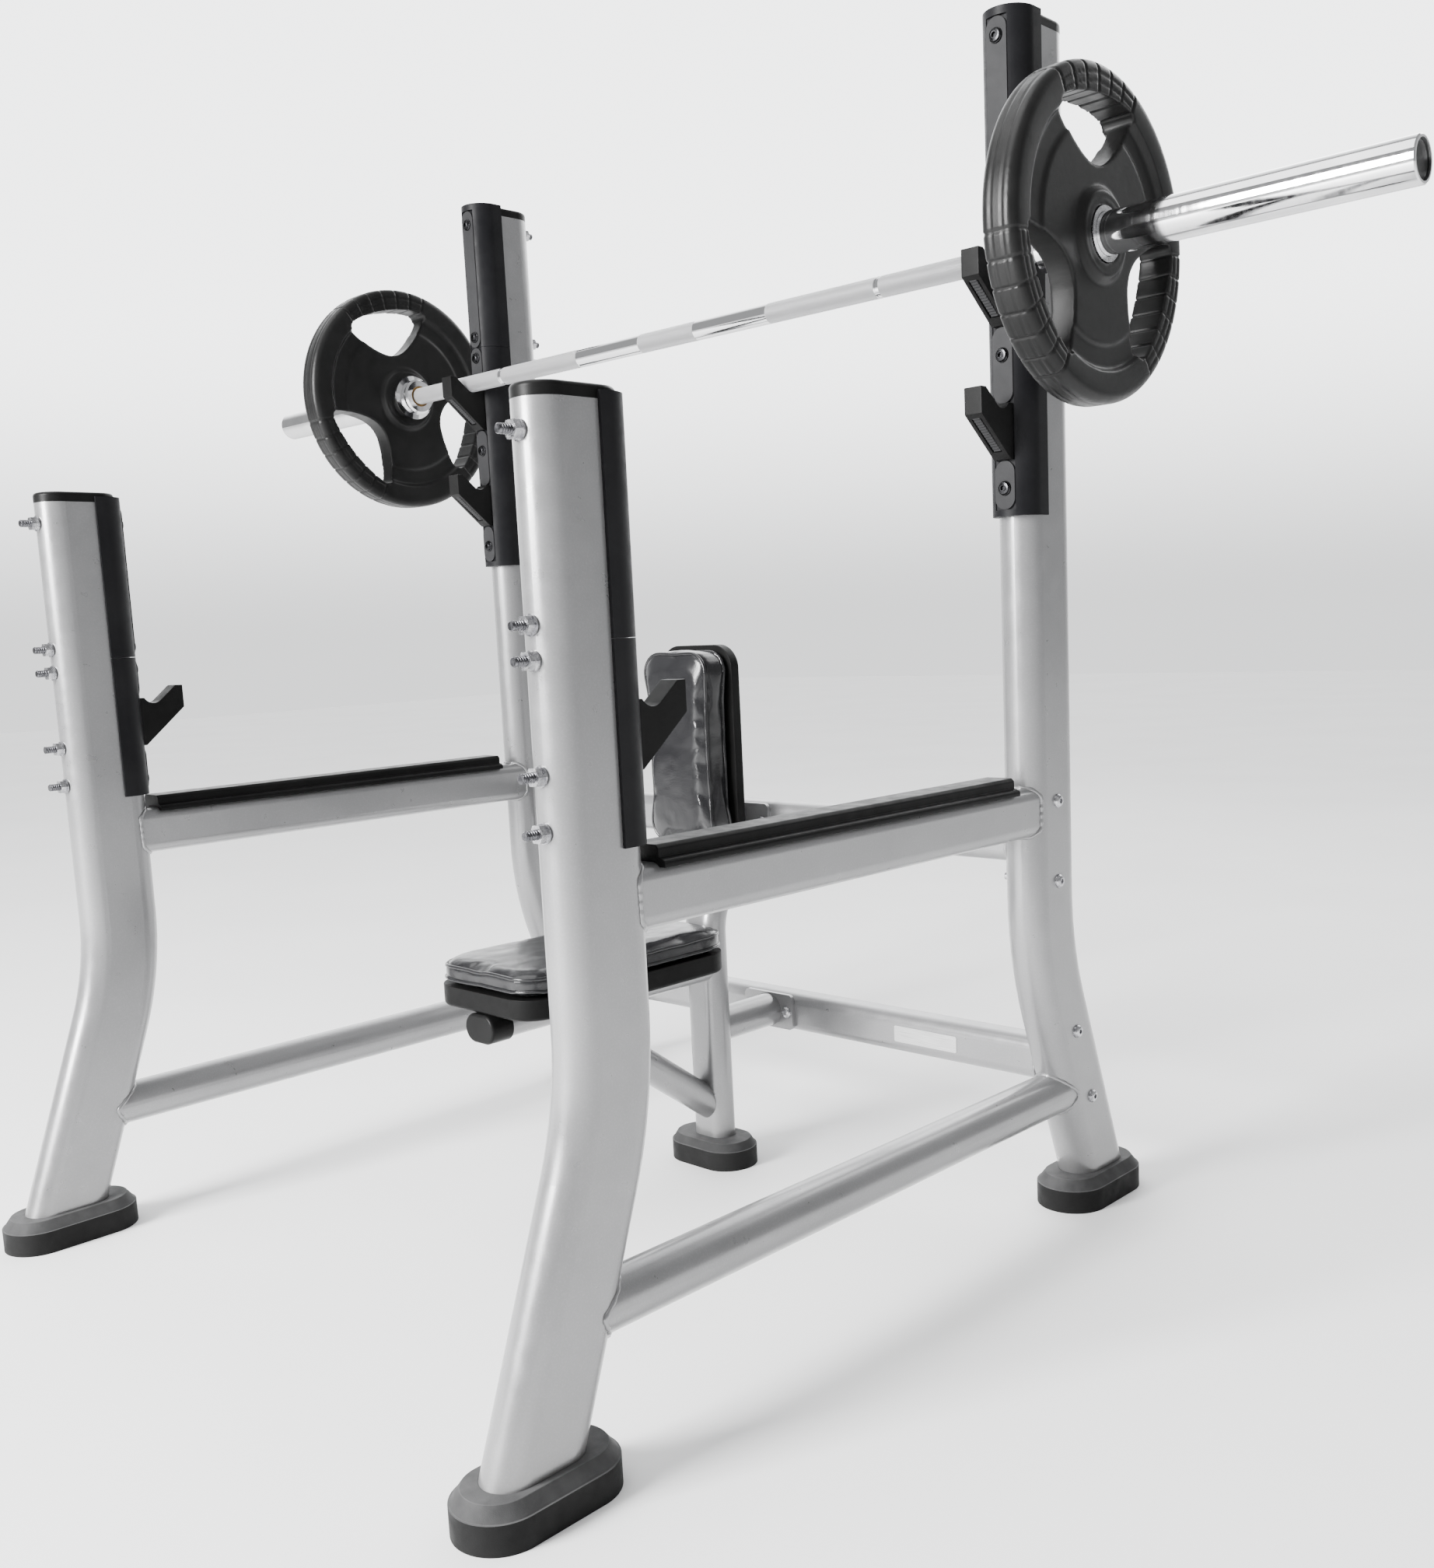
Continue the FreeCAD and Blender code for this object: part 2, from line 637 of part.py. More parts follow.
def hook_piece(name, x, y, turn, face, proud, cradle):
    """One bar hook: a rounded cup whose outer side opens at a slope up to a blunt lip.
    cradle is the height of the underside of a bar that rests in the cup."""
    body = new_body(name + "_block", x, y, 0.0, turn)
    surface = tube_reach + proud
    profile = new_sketch(body, name + "_profile", "YZ_Plane")
    cup_radius = 16.3
    cup_y = surface + 19.0
    cup_z = cradle + 16.0
    slope = math.radians(50.0)
    left_y = surface.value + 19.0 - math.sqrt(cup_radius ** 2 - 64.0)
    points = [
        (surface.value + 29.48, cradle.value + 3.51), (surface.value + 54.0, cradle.value + 24.0),
        (surface.value + 65.0, cradle.value + 24.0), (surface.value + 65.0, cradle.value - 9.0),
        (surface.value + 2.0, cradle.value - 62.0), (face.value + 0.2, cradle.value - 62.0),
        (face.value + 0.2, cradle.value + 8.0), (left_y, cradle.value + 8.0)]
    lines = []
    for first, second in zip(points, points[1:]):
        lines.append(profile.addGeometry(Part.LineSegment(
            Vector(first[0], first[1], 0), Vector(second[0], second[1], 0))))
    start_angle = math.atan2(-8.0, left_y - surface.value - 19.0) + 2 * math.pi
    cup = profile.addGeometry(Part.ArcOfCircle(
        Part.Circle(Vector(cup_y.value, cup_z.value, 0), Vector(0, 0, 1), cup_radius),
        start_angle, 2 * math.pi - slope))
    for line, following in zip(lines, lines[1:]):
        profile.addConstraint(Sketcher.Constraint("Coincident", line, 2, following, 1))
    profile.addConstraint([
        Sketcher.Constraint("Coincident", lines[-1], 2, cup, 1),
        Sketcher.Constraint("Coincident", cup, 2, lines[0], 1)])
    fix_point(profile, cup, 3, cup_y, cup_z)
    fix_radius(profile, cup, cup_radius)
    reach = cell("hook_reach")
    fix_point(profile, lines[1], 1, surface + reach - 11.0, cradle + 24.0)
    fix_point(profile, lines[2], 1, surface + reach, cradle + 24.0)
    fix_point(profile, lines[3], 1, surface + reach, cradle - 9.0)
    fix_point(profile, lines[4], 1, surface + 2.0, cradle - 62.0)
    fix_point(profile, lines[5], 1, face + 0.2, cradle - 62.0)
    fix_point(profile, lines[6], 1, face + 0.2, cradle + 8.0)
    profile.addConstraint(Sketcher.Constraint("Horizontal", lines[6]))
    index = profile.addConstraint(
        Sketcher.Constraint("DistanceX", -1, 1, lines[0], 1, points[0][0]))
    bind(profile, "Constraints[%d]" % index, surface + 29.48)
    add_pad(body, profile, cell("hook_wide"), midplane=True)

    # The sloping underside carries a shallow channel between two cheeks.
    channel = doc.addObject("Part::Box", name + "_channel")
    channel.Length = 14.0
    channel.Width = 60.0
    channel.Height = 8.0
    tilt = math.degrees(math.atan2(53.0, 63.0))
    sign = 1.0 if turn == 0.0 else -1.0
    low = Vector(x.value - 7.0 * sign, 0, 0)
    low.y = y.value + sign * (surface.value + 14.0)
    low.z = cradle.value - 62.0 + 12.0 * 53.0 / 63.0 - 3.5
    channel.Placement = Placement(low, Rotation(Vector(0, 0, 1), turn).multiply(
        Rotation(Vector(1, 0, 0), tilt)))
    doc.recompute()
    return cut_from(name, body, [channel])


bolt_places = []
stud_places = []
nut_places = []
bar_under = cell("bar_level") - cell("bar_round")
for side, sign in SIDES:
    track = middle + half_track * sign

    # Upright: a plain top guard, then one long moulding that carries both hooks.
    proud = cell("rear_proud")
    where = (track, half_base, 180.0)
    strips = []
    name = side + "_upright_top_guard"
    body, groove, face = guard_piece(
        name, cell("upright_seam") + 0.6, cell("upright_guard_top"), proud, *where)
    cut_groove(body, groove, cell("upright_seam") - 5.0, cell("upright_guard_top") - 10.0)
    drill_guard(body, name, REAR_BOLTS[:2])
    keep(body)
    strips.append(insert_strip(side + "_strip_one", track, half_base, 180.0, face,
                               cell("upright_seam") + 0.8, cell("upright_guard_top") - 10.5,
                               REAR_BOLTS[:2]))
    name = side + "_upright_hook_guard"
    body, groove, face = guard_piece(
        name, cell("upright_guard_low"), cell("upright_seam"), proud, *where)
    cut_groove(body, groove, cell("upright_guard_low") + 8.0, cell("upright_seam") + 1.0)
    drill_guard(body, name, REAR_BOLTS[2:])
    keep(body)
    lower_cradle = bar_under - cell("hook_pitch")
    strips.append(insert_strip(side + "_strip_two", track, half_base, 180.0, face,
                               bar_under + 8.5, cell("upright_seam") - 0.2, REAR_BOLTS[2:3]))
    strips.append(insert_strip(side + "_strip_three", track, half_base, 180.0, face,
                               lower_cradle + 8.5, bar_under - 62.5, REAR_BOLTS[3:4]))
    strips.append(insert_strip(side + "_strip_four", track, half_base, 180.0, face,
                               cell("upright_guard_low") + 8.3, lower_cradle - 62.5, REAR_BOLTS[4:]))
    keep(hook_piece(side + "_upper_hook", *where, face=face, proud=proud, cradle=bar_under))
    keep(hook_piece(side + "_lower_hook", *where, face=face, proud=proud, cradle=lower_cradle))
    seat = face.value + sheet.get("insert_thick")
    for level in REAR_BOLTS:
        bolt_places.append((track.value, half_base.value - seat, level, 180.0))
        nut_places.append((track.value, half_base.value + tube_reach.value, level, 180.0))

    # Front post: a short top guard and a lower one with the safety hook.
    proud = cell("front_proud")
    where = (track, -half_base, 0.0)
    name = side + "_front_top_guard"
    body, groove, face = guard_piece(
        name, cell("front_seam") + 0.6, cell("front_guard_top"), proud, *where)
    cut_groove(body, groove, cell("front_seam") - 5.0, cell("front_guard_top") - 10.0)
    drill_guard(body, name, FRONT_BOLTS[:2])
    keep(body)
    strips.append(insert_strip(side + "_strip_five", track, -half_base, 0.0, face,
                               cell("front_seam") + 0.8, cell("front_guard_top") - 10.5,
                               FRONT_BOLTS[:2]))
    name = side + "_front_hook_guard"
    body, groove, face = guard_piece(
        name, cell("front_guard_low"), cell("front_seam"), proud, *where)
    cut_groove(body, groove, cell("front_guard_low") + 4.0, cell("front_seam") + 1.0)
    drill_guard(body, name, FRONT_BOLTS[2:] + (HOOK_STUD,))
    keep(body)
    cradle = cell("front_hook_level")
    strips.append(insert_strip(side + "_strip_six", track, -half_base, 0.0, face,
                               cradle + 8.5, cell("front_seam") - 0.2, FRONT_BOLTS[2:3]))
    strips.append(insert_strip(side + "_strip_seven", track, -half_base, 0.0, face,
                               cell("front_guard_low") + 4.3, cradle - 62.5, FRONT_BOLTS[3:]))
    keep(hook_piece(side + "_front_hook", *where, face=face, proud=proud, cradle=cradle))
    seat = face.value + sheet.get("insert_thick")
    for level in FRONT_BOLTS:
        bolt_places.append((track.value, -half_base.value + seat, level, 0.0))
        nut_places.append((track.value, -half_base.value - tube_reach.value, level, 0.0))
    stud_places.append((track.value, -half_base.value + face.value, HOOK_STUD, 0.0))
    nut_places.append((track.value, -half_base.value - tube_reach.value, HOOK_STUD, 0.0))

    doc.recompute()
    keep(new_group(side + "_guard_strips", [strip.Shape.copy() for strip in strips]))


# ---------------------------------------------------------------- cross members
cross_half = cell("cross_wide") / 2
cross_tall = cell("cross_tall") / 2
plate_thick = cell("cross_plate")
end_plates = []
for name, level_cell, bolts in (("upper", "upper_cross_level", UPPER_CROSS_BOLTS),
                                ("lower", "lower_cross_level", LOWER_CROSS_BOLTS)):
    level = cell(level_cell)
    centre_y = half_base.value - (bolts[0][0] + bolts[1][0]) / 2
    half_run = half_track - tube_round - plate_thick
    body = new_body(name + "_cross_member", middle, centre_y, level)
    section = new_sketch(body, name + "_cross_section", "YZ_Plane")
    draw_box(section, -cross_half, cross_half, -cross_tall, cross_tall)
    add_pad(body, section, half_run * 2, midplane=True)
    round_edges(body, 16.0, lambda box: box.XLength > 500)
    inside = new_sketch(body, name + "_cross_inside", "YZ_Plane")
    draw_cut_corner_box(inside, cross_half - tube_wall, -(cross_tall - tube_wall),
                        cross_tall - tube_wall, 8.0)
    add_pocket(body, inside)
    keep(body)
    lean = 0.0 if name == "upper" else -sheet.get("splay_degrees")
    for side, sign in SIDES:
        plate = new_body("%s_%s_end_plate" % (side, name), middle + half_run * sign, centre_y, level)
        outline = new_sketch(plate, plate.Name + "_outline", "YZ_Plane")
        draw_slot(outline, 46.0, 26.0)
        for step in (-54.5, 54.5):
            draw_circle(outline, 0.0, step, 5.3)
        add_pad(plate, outline, plate_thick, backwards=sign < 0)
        plate.Placement = Placement(plate.Placement.Base, Rotation(Vector(1, 0, 0), -lean))
        end_plates.append(plate)
doc.recompute()
keep(new_group("cross_end_plates", [plate.Shape.copy() for plate in end_plates]))

# ---------------------------------------------------------------- bench stand
# One tube stands on its own foot, kicks back above the seat and carries the back pad.
post_back = cell("bench_post_back")
kick = math.radians(sheet.get("bench_bend_degrees"))
kick_radius = cell("bench_bend_radius")


def bench_post(name, wall=None):
    body = new_body(name, middle, post_back, 0.0)
    path = new_sketch(body, name + "_path", "YZ_Plane")
    low = cell("bench_bend_level")
    radius = kick_radius.value
    half_rise = radius * math.sin(kick)
    half_shift = radius * (1 - math.cos(kick))
    straight = path.addGeometry(Part.LineSegment(Vector(0, 8, 0), Vector(0, low.value, 0)))
    back = path.addGeometry(Part.ArcOfCircle(
        Part.Circle(Vector(radius, low.value, 0), Vector(0, 0, 1), radius),
        math.pi - kick, math.pi))
    forward = path.addGeometry(Part.ArcOfCircle(
        Part.Circle(Vector(2 * half_shift - radius, low.value + 2 * half_rise, 0),
                    Vector(0, 0, 1), radius), -kick, 0))
    upper = path.addGeometry(Part.LineSegment(
        Vector(2 * half_shift, low.value + 2 * half_rise, 0),
        Vector(2 * half_shift, cell("bench_post_top").value, 0)))
    path.addConstraint([
        Sketcher.Constraint("Tangent", straight, 2, back, 2),
        Sketcher.Constraint("Tangent", back, 1, forward, 1),
        Sketcher.Constraint("Tangent", forward, 2, upper, 1),
        Sketcher.Constraint("Vertical", upper),
        Sketcher.Constraint("Equal", back, forward)])
    fix_point(path, straight, 1, 0.0, 8.0)
    fix_point(path, straight, 2, 0.0, low)
    fix_radius(path, back, kick_radius)
    fix_point(path, upper, 2, kick_radius * (2 * (1 - math.cos(kick))), cell("bench_post_top"))
    section = new_sketch(body, name + "_section", "XY_Plane", 8.0)
    half_wide = cell("bench_post_wide") / 2
    half_deep = cell("bench_post_deep") / 2
    draw_slot(section, half_wide - half_deep, half_deep, along_y=False)
    pipe = body.newObject("PartDesign::AdditivePipe", name + "_pipe")
    pipe.Profile = section
    pipe.Spine = path
    doc.recompute()
    if wall is not None:
        inside = new_sketch(body, name + "_inside", "XY_Plane", 8.0)
        draw_slot(inside, half_wide - half_deep, half_deep - wall, along_y=False)
        bore = body.newObject("PartDesign::SubtractivePipe", name + "_bore")
        bore.Profile = inside
        bore.Spine = path
        doc.recompute()
    return body


stand = keep(bench_post("bench_post", tube_wall))
stand_envelope = bench_post("bench_post_envelope")

block = rubber_foot("bench_foot", as_size(152.0), as_size(92.0), as_size(30.0), as_size(42.0),
                    9.0, middle, post_back - 4.0, 0.0, along_y=False)
keep(cut_from("bench_foot", block, [stand_envelope]))

seat_low = cell("seat_tube_low")
seat_tube_tall = cell("seat_board_low") - seat_low
tube = new_body("seat_tube_bar", middle, cell("seat_front") + 40.0, seat_low)
section = new_sketch(tube, "seat_tube_section", "XZ_Plane")
half_wide = cell("seat_tube_wide") / 2
draw_slot(section, half_wide - seat_tube_tall / 2, seat_tube_tall / 2, 0.0, seat_tube_tall / 2,
          along_y=False)
draw_slot(section, half_wide - seat_tube_tall / 2, seat_tube_tall / 2 - tube_wall, 0.0,
          seat_tube_tall / 2, along_y=False)
add_pad(tube, section, post_back - cell("seat_front") - 40.0, backwards=True)
keep(cut_from("seat_tube", tube, [stand_envelope]))

plug = new_body("seat_tube_plug", middle, cell("seat_front") + 40.0, seat_low)
section = new_sketch(plug, "seat_plug_section", "XZ_Plane")
draw_slot(section, half_wide - seat_tube_tall / 2, seat_tube_tall / 2 + 1.5, 0.0,
          seat_tube_tall / 2 - 1.7, along_y=False)
add_pad(plug, section, 36.0)
round_edges(plug, 4.0, lambda box: box.YMax < -35.9)
keep(plug)

# The brace runs from low on the post up to the underside of the seat tube.
brace = new_rod("seat_brace_bar", 24.0, 340.0, (middle, post_back, 85.0), (0, -0.808, 0.589))
brace_bore = new_rod("seat_brace_bore", 21.0, 340.0, (middle, post_back, 85.0), (0, -0.808, 0.589))
above = new_block("brace_limit", -100.0, -400.0, seat_low - 0.0, 200.0, 700.0, 200.0)
keep(cut_from("seat_brace", brace, [brace_bore, stand_envelope, above]))

link = new_rod("link_tube_bar", 27.0, 200.0, (middle, post_back, cell("lower_cross_level") + 2.0), (0, 1, 0))
link_bore = new_rod("link_tube_bore", 24.0, 200.0, (middle, post_back, cell("lower_cross_level") + 2.0),
                    (0, 1, 0))
lower_front = half_base.value + (sheet.get("splay_level") - sheet.get("lower_cross_level")) * math.tan(
    splay) - cross_half.value
upper_front = half_base.value - cross_half.value
beyond = new_block("link_limit", -100.0, lower_front - 6.0, 100.0, 200.0, 200.0, 250.0)
keep(cut_from("link_tube", link, [link_bore, stand_envelope, beyond]))

flanges = []
for name, front, level, half_wide_flange in (
        ("lower_flange", lower_front, sheet.get("lower_cross_level") + 2.0, 52.0),
        ("upper_flange", upper_front, sheet.get("upper_cross_level"), 72.0)):
    flange = new_body(name, middle, front, level)
    outline = new_sketch(flange, name + "_outline", "XZ_Plane")
    draw_box(outline, -half_wide_flange, half_wide_flange, -29.0, 29.0)
    for step in (-1.0, 1.0):
        draw_circle(outline, step * (half_wide_flange - 12.0), 0.0, 5.3)
    add_pad(flange, outline, 6.0)
    round_edges(flange, 8.0, lambda box: box.YLength > 5.0 and box.XLength < 0.1 and box.ZLength < 0.1)
    flanges.append(flange)
doc.recompute()
upper_plate = cut_from("upper_flange_fitted", flanges[1], [stand_envelope])
keep(new_group("bench_flanges", [flanges[0].Shape.copy(), upper_plate.Shape.copy()]))


# ---------------------------------------------------------------- seat and back pad
board = new_body("seat_board", middle, cell("seat_front"), cell("seat_board_low"))
seat_long = cell("seat_back") - cell("seat_front")
inset = 7.0
outline = new_sketch(board, "seat_board_outline")
draw_box(outline, -(cell("seat_half") - inset), cell("seat_half") - inset, inset, seat_long - inset)
add_pad(board, outline, cell("seat_pad_low") - cell("seat_board_low"))
round_edges(board, 46.0, lambda box: box.ZLength > 20.0)
round_edges(board, 6.0, lambda box: box.ZMax < 0.1)
keep(board)

cushion = new_body("seat_pad", middle, cell("seat_front"), cell("seat_pad_low"))
outline = new_sketch(cushion, "seat_pad_outline")
draw_box(outline, -cell("seat_half"), cell("seat_half"), 0.0, seat_long)
pad_tall = cell("seat_top") - cell("seat_pad_low")
add_pad(cushion, outline, pad_tall)
round_edges(cushion, 50.0, lambda box: box.ZLength > 20.0)
pad_top = pad_tall.value
round_edges(cushion, 10.0, lambda box: box.ZMin > pad_top - 0.1)
keep(cushion)

shell = new_body("back_board", middle, cell("board_back"), cell("pad_low"))
outline = new_sketch(shell, "back_board_outline", "XZ_Plane")
back_tall = cell("pad_top") - cell("pad_low")
pad_half = cell("pad_half")
draw_box(outline, -pad_half, pad_half, 0.0, back_tall)
add_pad(shell, outline, cell("board_back") - cell("pad_back"))
round_edges(shell, 36.0, lambda box: box.YLength > 10.0)
round_edges(shell, 5.0, lambda box: box.YMin > -0.1)
keep(shell)

backrest = new_body("back_pad", middle, cell("pad_back"), cell("pad_low"))
outline = new_sketch(backrest, "back_pad_outline", "XZ_Plane")
draw_box(outline, -(pad_half - 1.0), pad_half - 1.0, 1.0, back_tall - 1.0)
add_pad(backrest, outline, cell("pad_back") - cell("pad_front"))
round_edges(backrest, 35.0, lambda box: box.YLength > 10.0)
front_face = -(sheet.get("pad_back") - sheet.get("pad_front"))
round_edges(backrest, 12.0, lambda box: box.YMax < front_face + 0.1)
keep(backrest)

# ---------------------------------------------------------------- fasteners
bolt = new_body("bolt_master")
add_turned(bolt, [(0.0, 0.0), (5.5, 0.0), (5.5, 4.5), (4.4, 7.2), (2.0, 9.0), (0.0, 9.4), (0.0, 5.0),
                  (-139.0, 5.0), (-140.0, 4.0), (-140.0, 0.0)], "XY_Plane", "H_Axis")
socket = new_sketch(bolt, "bolt_socket", "YZ_Plane", 5.5)
draw_circle(socket, 0.0, 0.0, 3.2)
add_pocket(bolt, socket, 3.0)
bolts = []
for x, y, z, turn in bolt_places:
    bolts.append(placed(bolt.Shape, x, y, z, 90.0 + turn))
stud = Part.makeCylinder(5.0, 137.0, Vector(0, 0, 0), Vector(0, -1, 0))
for x, y, z, turn in stud_places:
    bolts.append(placed(stud, x, y, z, turn))
keep(new_group("guard_bolts", bolts))

nut = new_body("nut_master")
washer = new_sketch(nut, "nut_washer", "XZ_Plane")
draw_circle(washer, 0.0, 0.0, 10.5)
draw_circle(washer, 0.0, 0.0, 5.15)
add_pad(nut, washer, 2.0)
hexagon = new_sketch(nut, "nut_hexagon", "XZ_Plane", 2.0)
corner = 8.5 / math.cos(math.radians(30.0))
draw_outline(hexagon, [(corner * math.cos(math.radians(60.0 * step)),
                        corner * math.sin(math.radians(60.0 * step))) for step in range(6)])
draw_circle(hexagon, 0.0, 0.0, 5.15)
add_pad(nut, hexagon, 8.0)
nuts = [placed(nut.Shape, x, y, z, turn) for x, y, z, turn in nut_places]
keep(new_group("guard_nuts", nuts))

cross_bolt = new_body("cross_bolt_master")
add_turned(cross_bolt, [(0.0, 0.0), (5.5, 0.0), (5.5, 4.5), (4.4, 7.2), (2.0, 9.0), (0.0, 9.4),
                        (0.0, 5.0), (-84.0, 5.0), (-84.0, 0.0)], "XY_Plane", "H_Axis")
socket = new_sketch(cross_bolt, "cross_bolt_socket", "YZ_Plane", 5.5)
draw_circle(socket, 0.0, 0.0, 3.2)
add_pocket(cross_bolt, socket, 3.0)
cross_bolts = []
cross_nuts = []
for side, sign in SIDES:
    for y, z in UPPER_CROSS_BOLTS + LOWER_CROSS_BOLTS:
        outside = middle.value + sign * (half_track.value + tube_round.value)
        inside = middle.value + sign * (half_track.value - tube_round.value - plate_thick.value)
        turn = 0.0 if sign > 0 else 180.0
        cross_bolts.append(placed(cross_bolt.Shape, outside, half_base.value - y, z, turn))
        cross_nuts.append(placed(nut.Shape, inside, half_base.value - y, z, -90.0 * sign))
keep(new_group("cross_bolts", cross_bolts + cross_nuts))

flange_bolt = new_body("flange_bolt_master")
add_turned(flange_bolt, [(0.0, 0.0), (5.5, 0.0), (5.5, 4.5), (4.4, 7.2), (2.0, 9.0), (0.0, 9.4),
                         (0.0, 5.0), (-6.0, 5.0), (-6.0, 0.0)], "XY_Plane", "H_Axis")
flange_bolts = []
for front, level, reach in ((lower_front, sheet.get("lower_cross_level") + 2.0, 40.0),
                            (upper_front, sheet.get("upper_cross_level"), 60.0)):
    for step in (-reach, reach):
        flange_bolts.append(placed(flange_bolt.Shape, middle.value + step, front - 6.0, level, -90.0))
keep(new_group("flange_bolts", flange_bolts))

# ---------------------------------------------------------------- bar, sleeves and plates
bar_y = cell("bar_back")
bar_z = cell("bar_level")
shaft = new_body("bar_shaft", 0.0, bar_y, bar_z)
half_shaft = cell("collar_start") - 0.5
thin = cell("bar_round") - 1.5
ring = 405.0
add_turned(shaft, [
    (-(half_shaft + 420.0), 0.0), (-(half_shaft + 420.0), thin), (-half_shaft, thin),
    (-half_shaft, cell("bar_round")), (-ring - 2.0, cell("bar_round")),
    (-ring - 2.0, cell("bar_round") - 0.6), (-ring + 2.0, cell("bar_round") - 0.6),
    (-ring + 2.0, cell("bar_round")), (ring - 2.0, cell("bar_round")),
    (ring - 2.0, cell("bar_round") - 0.6), (ring + 2.0, cell("bar_round") - 0.6),
    (ring + 2.0, cell("bar_round")), (half_shaft, cell("bar_round")), (half_shaft, thin),
    (half_shaft + 420.0, thin), (half_shaft + 420.0, 0.0)])
keep(shaft)

for side, sign in SIDES:
    turn = 0.0 if sign > 0 else 180.0
    start, neck, end = cell("collar_start"), cell("sleeve_start"), cell("sleeve_end")
    sleeve_round = cell("sleeve_round")
    sleeve = new_body(side + "_sleeve", 0.0, bar_y, bar_z, turn)
    add_turned(sleeve, [
        (start, 18.0), (start, 27.0), (start + 3.0, 30.0), (start + 17.0, 30.0), (start + 19.0, 38.0),
        (neck - 2.0, 38.0), (neck, 36.0), (neck, sleeve_round), (end - 1.5, sleeve_round),
        (end, sleeve_round - 1.5), (end, 21.0), (end - 10.0, 21.0), (end - 10.0, 18.0)])
    keep(sleeve)
    # Two bronze bushes carry each sleeve on the thinner ends of the shaft.
    bushes = []
    for offset in (4.0, 370.0):
        bush = new_body("%s_bush_%d" % (side, offset), 0.0, bar_y, bar_z, turn)
        add_turned(bush, [
            (start + offset, thin + 0.06), (start + offset, 17.95), (start + offset + 40.0, 17.95),
            (start + offset + 40.0, thin + 0.06)])
        bushes.append(bush.Shape.copy())
    keep(new_group(side + "_bushes", bushes))
    end_cap = new_body(side + "_end_cap", 0.0, bar_y, bar_z, turn)
    add_turned(end_cap, [(end - 9.0, 0.0), (end - 9.0, 20.9), (end - 4.0, 20.9), (end - 3.0, 18.0),
                         (end - 3.0, 0.0)])
    keep(end_cap)

    plate_x = cell("plate_start")
    thick = cell("plate_thick")
    size = cell("plate_round")
    plate = new_body(side + "_plate", 0.0, bar_y, bar_z, turn)
    add_turned(plate, [
        (plate_x, 32.0), (plate_x, 50.0), (plate_x + 9.0, 56.0), (plate_x + 9.0, 150.0),
        (plate_x + 3.0, 157.0), (plate_x + 2.0, size - 10.0), (plate_x + 5.0, size - 3.0),
        (plate_x + 12.0, size), (plate_x + thick - 12.0, size), (plate_x + thick - 5.0, size - 3.0),
        (plate_x + thick - 2.0, size - 10.0), (plate_x + thick - 3.0, 157.0),
        (plate_x + thick - 9.0, 150.0), (plate_x + thick - 9.0, 56.0), (plate_x + thick, 50.0),
        (plate_x + thick, 32.0)])
    grips = new_sketch(plate, side + "_plate_grips", "YZ_Plane")
    grip = [(-13.0, 79.0), (13.0, 79.0), (40.0, 93.0), (66.0, 116.0), (79.0, 134.0), (72.0, 143.0),
            (44.0, 152.0), (-44.0, 152.0), (-72.0, 143.0), (-79.0, 134.0), (-66.0, 116.0), (-40.0, 93.0)]
    # Each weight has come to rest turned a little from upright.
    rest_turn = 3.0 if side == "right" else -12.0
    for step in range(3):
        angle = math.radians(120.0 * step + rest_turn)
        draw_outline(grips, [(y * math.cos(angle) - z * math.sin(angle),
                              y * math.sin(angle) + z * math.cos(angle)) for y, z in grip])
    add_pocket(plate, grips)
    keep(plate)
    hub = new_body(side + "_plate_hub", 0.0, bar_y, bar_z, turn)
    add_turned(hub, [(plate_x, sleeve_round + 0.4), (plate_x, 31.8), (plate_x + thick + 1.0, 31.8),
                     (plate_x + thick + 1.0, sleeve_round + 0.4)])
    keep(hub)

# ---------------------------------------------------------------- check and write
doc.recompute()
for thing in doc.Objects:
    if "Invalid" in thing.State or "Error" in thing.State:
        raise RuntimeError("%s did not build: %s" % (thing.Name, thing.State))
labels = [node.Label for node in NODES]
if len(set(labels)) != len(labels):
    raise RuntimeError("two nodes share a name")
for node in NODES:
    if node.Shape.isNull() or not node.Shape.isValid():
        raise RuntimeError("%s has no valid shape" % node.Label)
    if node.Shape.Volume < 1.0:
        raise RuntimeError("%s has no volume" % node.Label)

os.makedirs("parts", exist_ok=True)
for node in NODES:
    node.Shape.exportStep("parts/%s.step" % node.Label)
print(len(NODES), "nodes written")
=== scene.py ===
import json
import math

import bmesh
import bpy
from mathutils import Matrix, Vector, noise
from mathutils.bvhtree import BVHTree

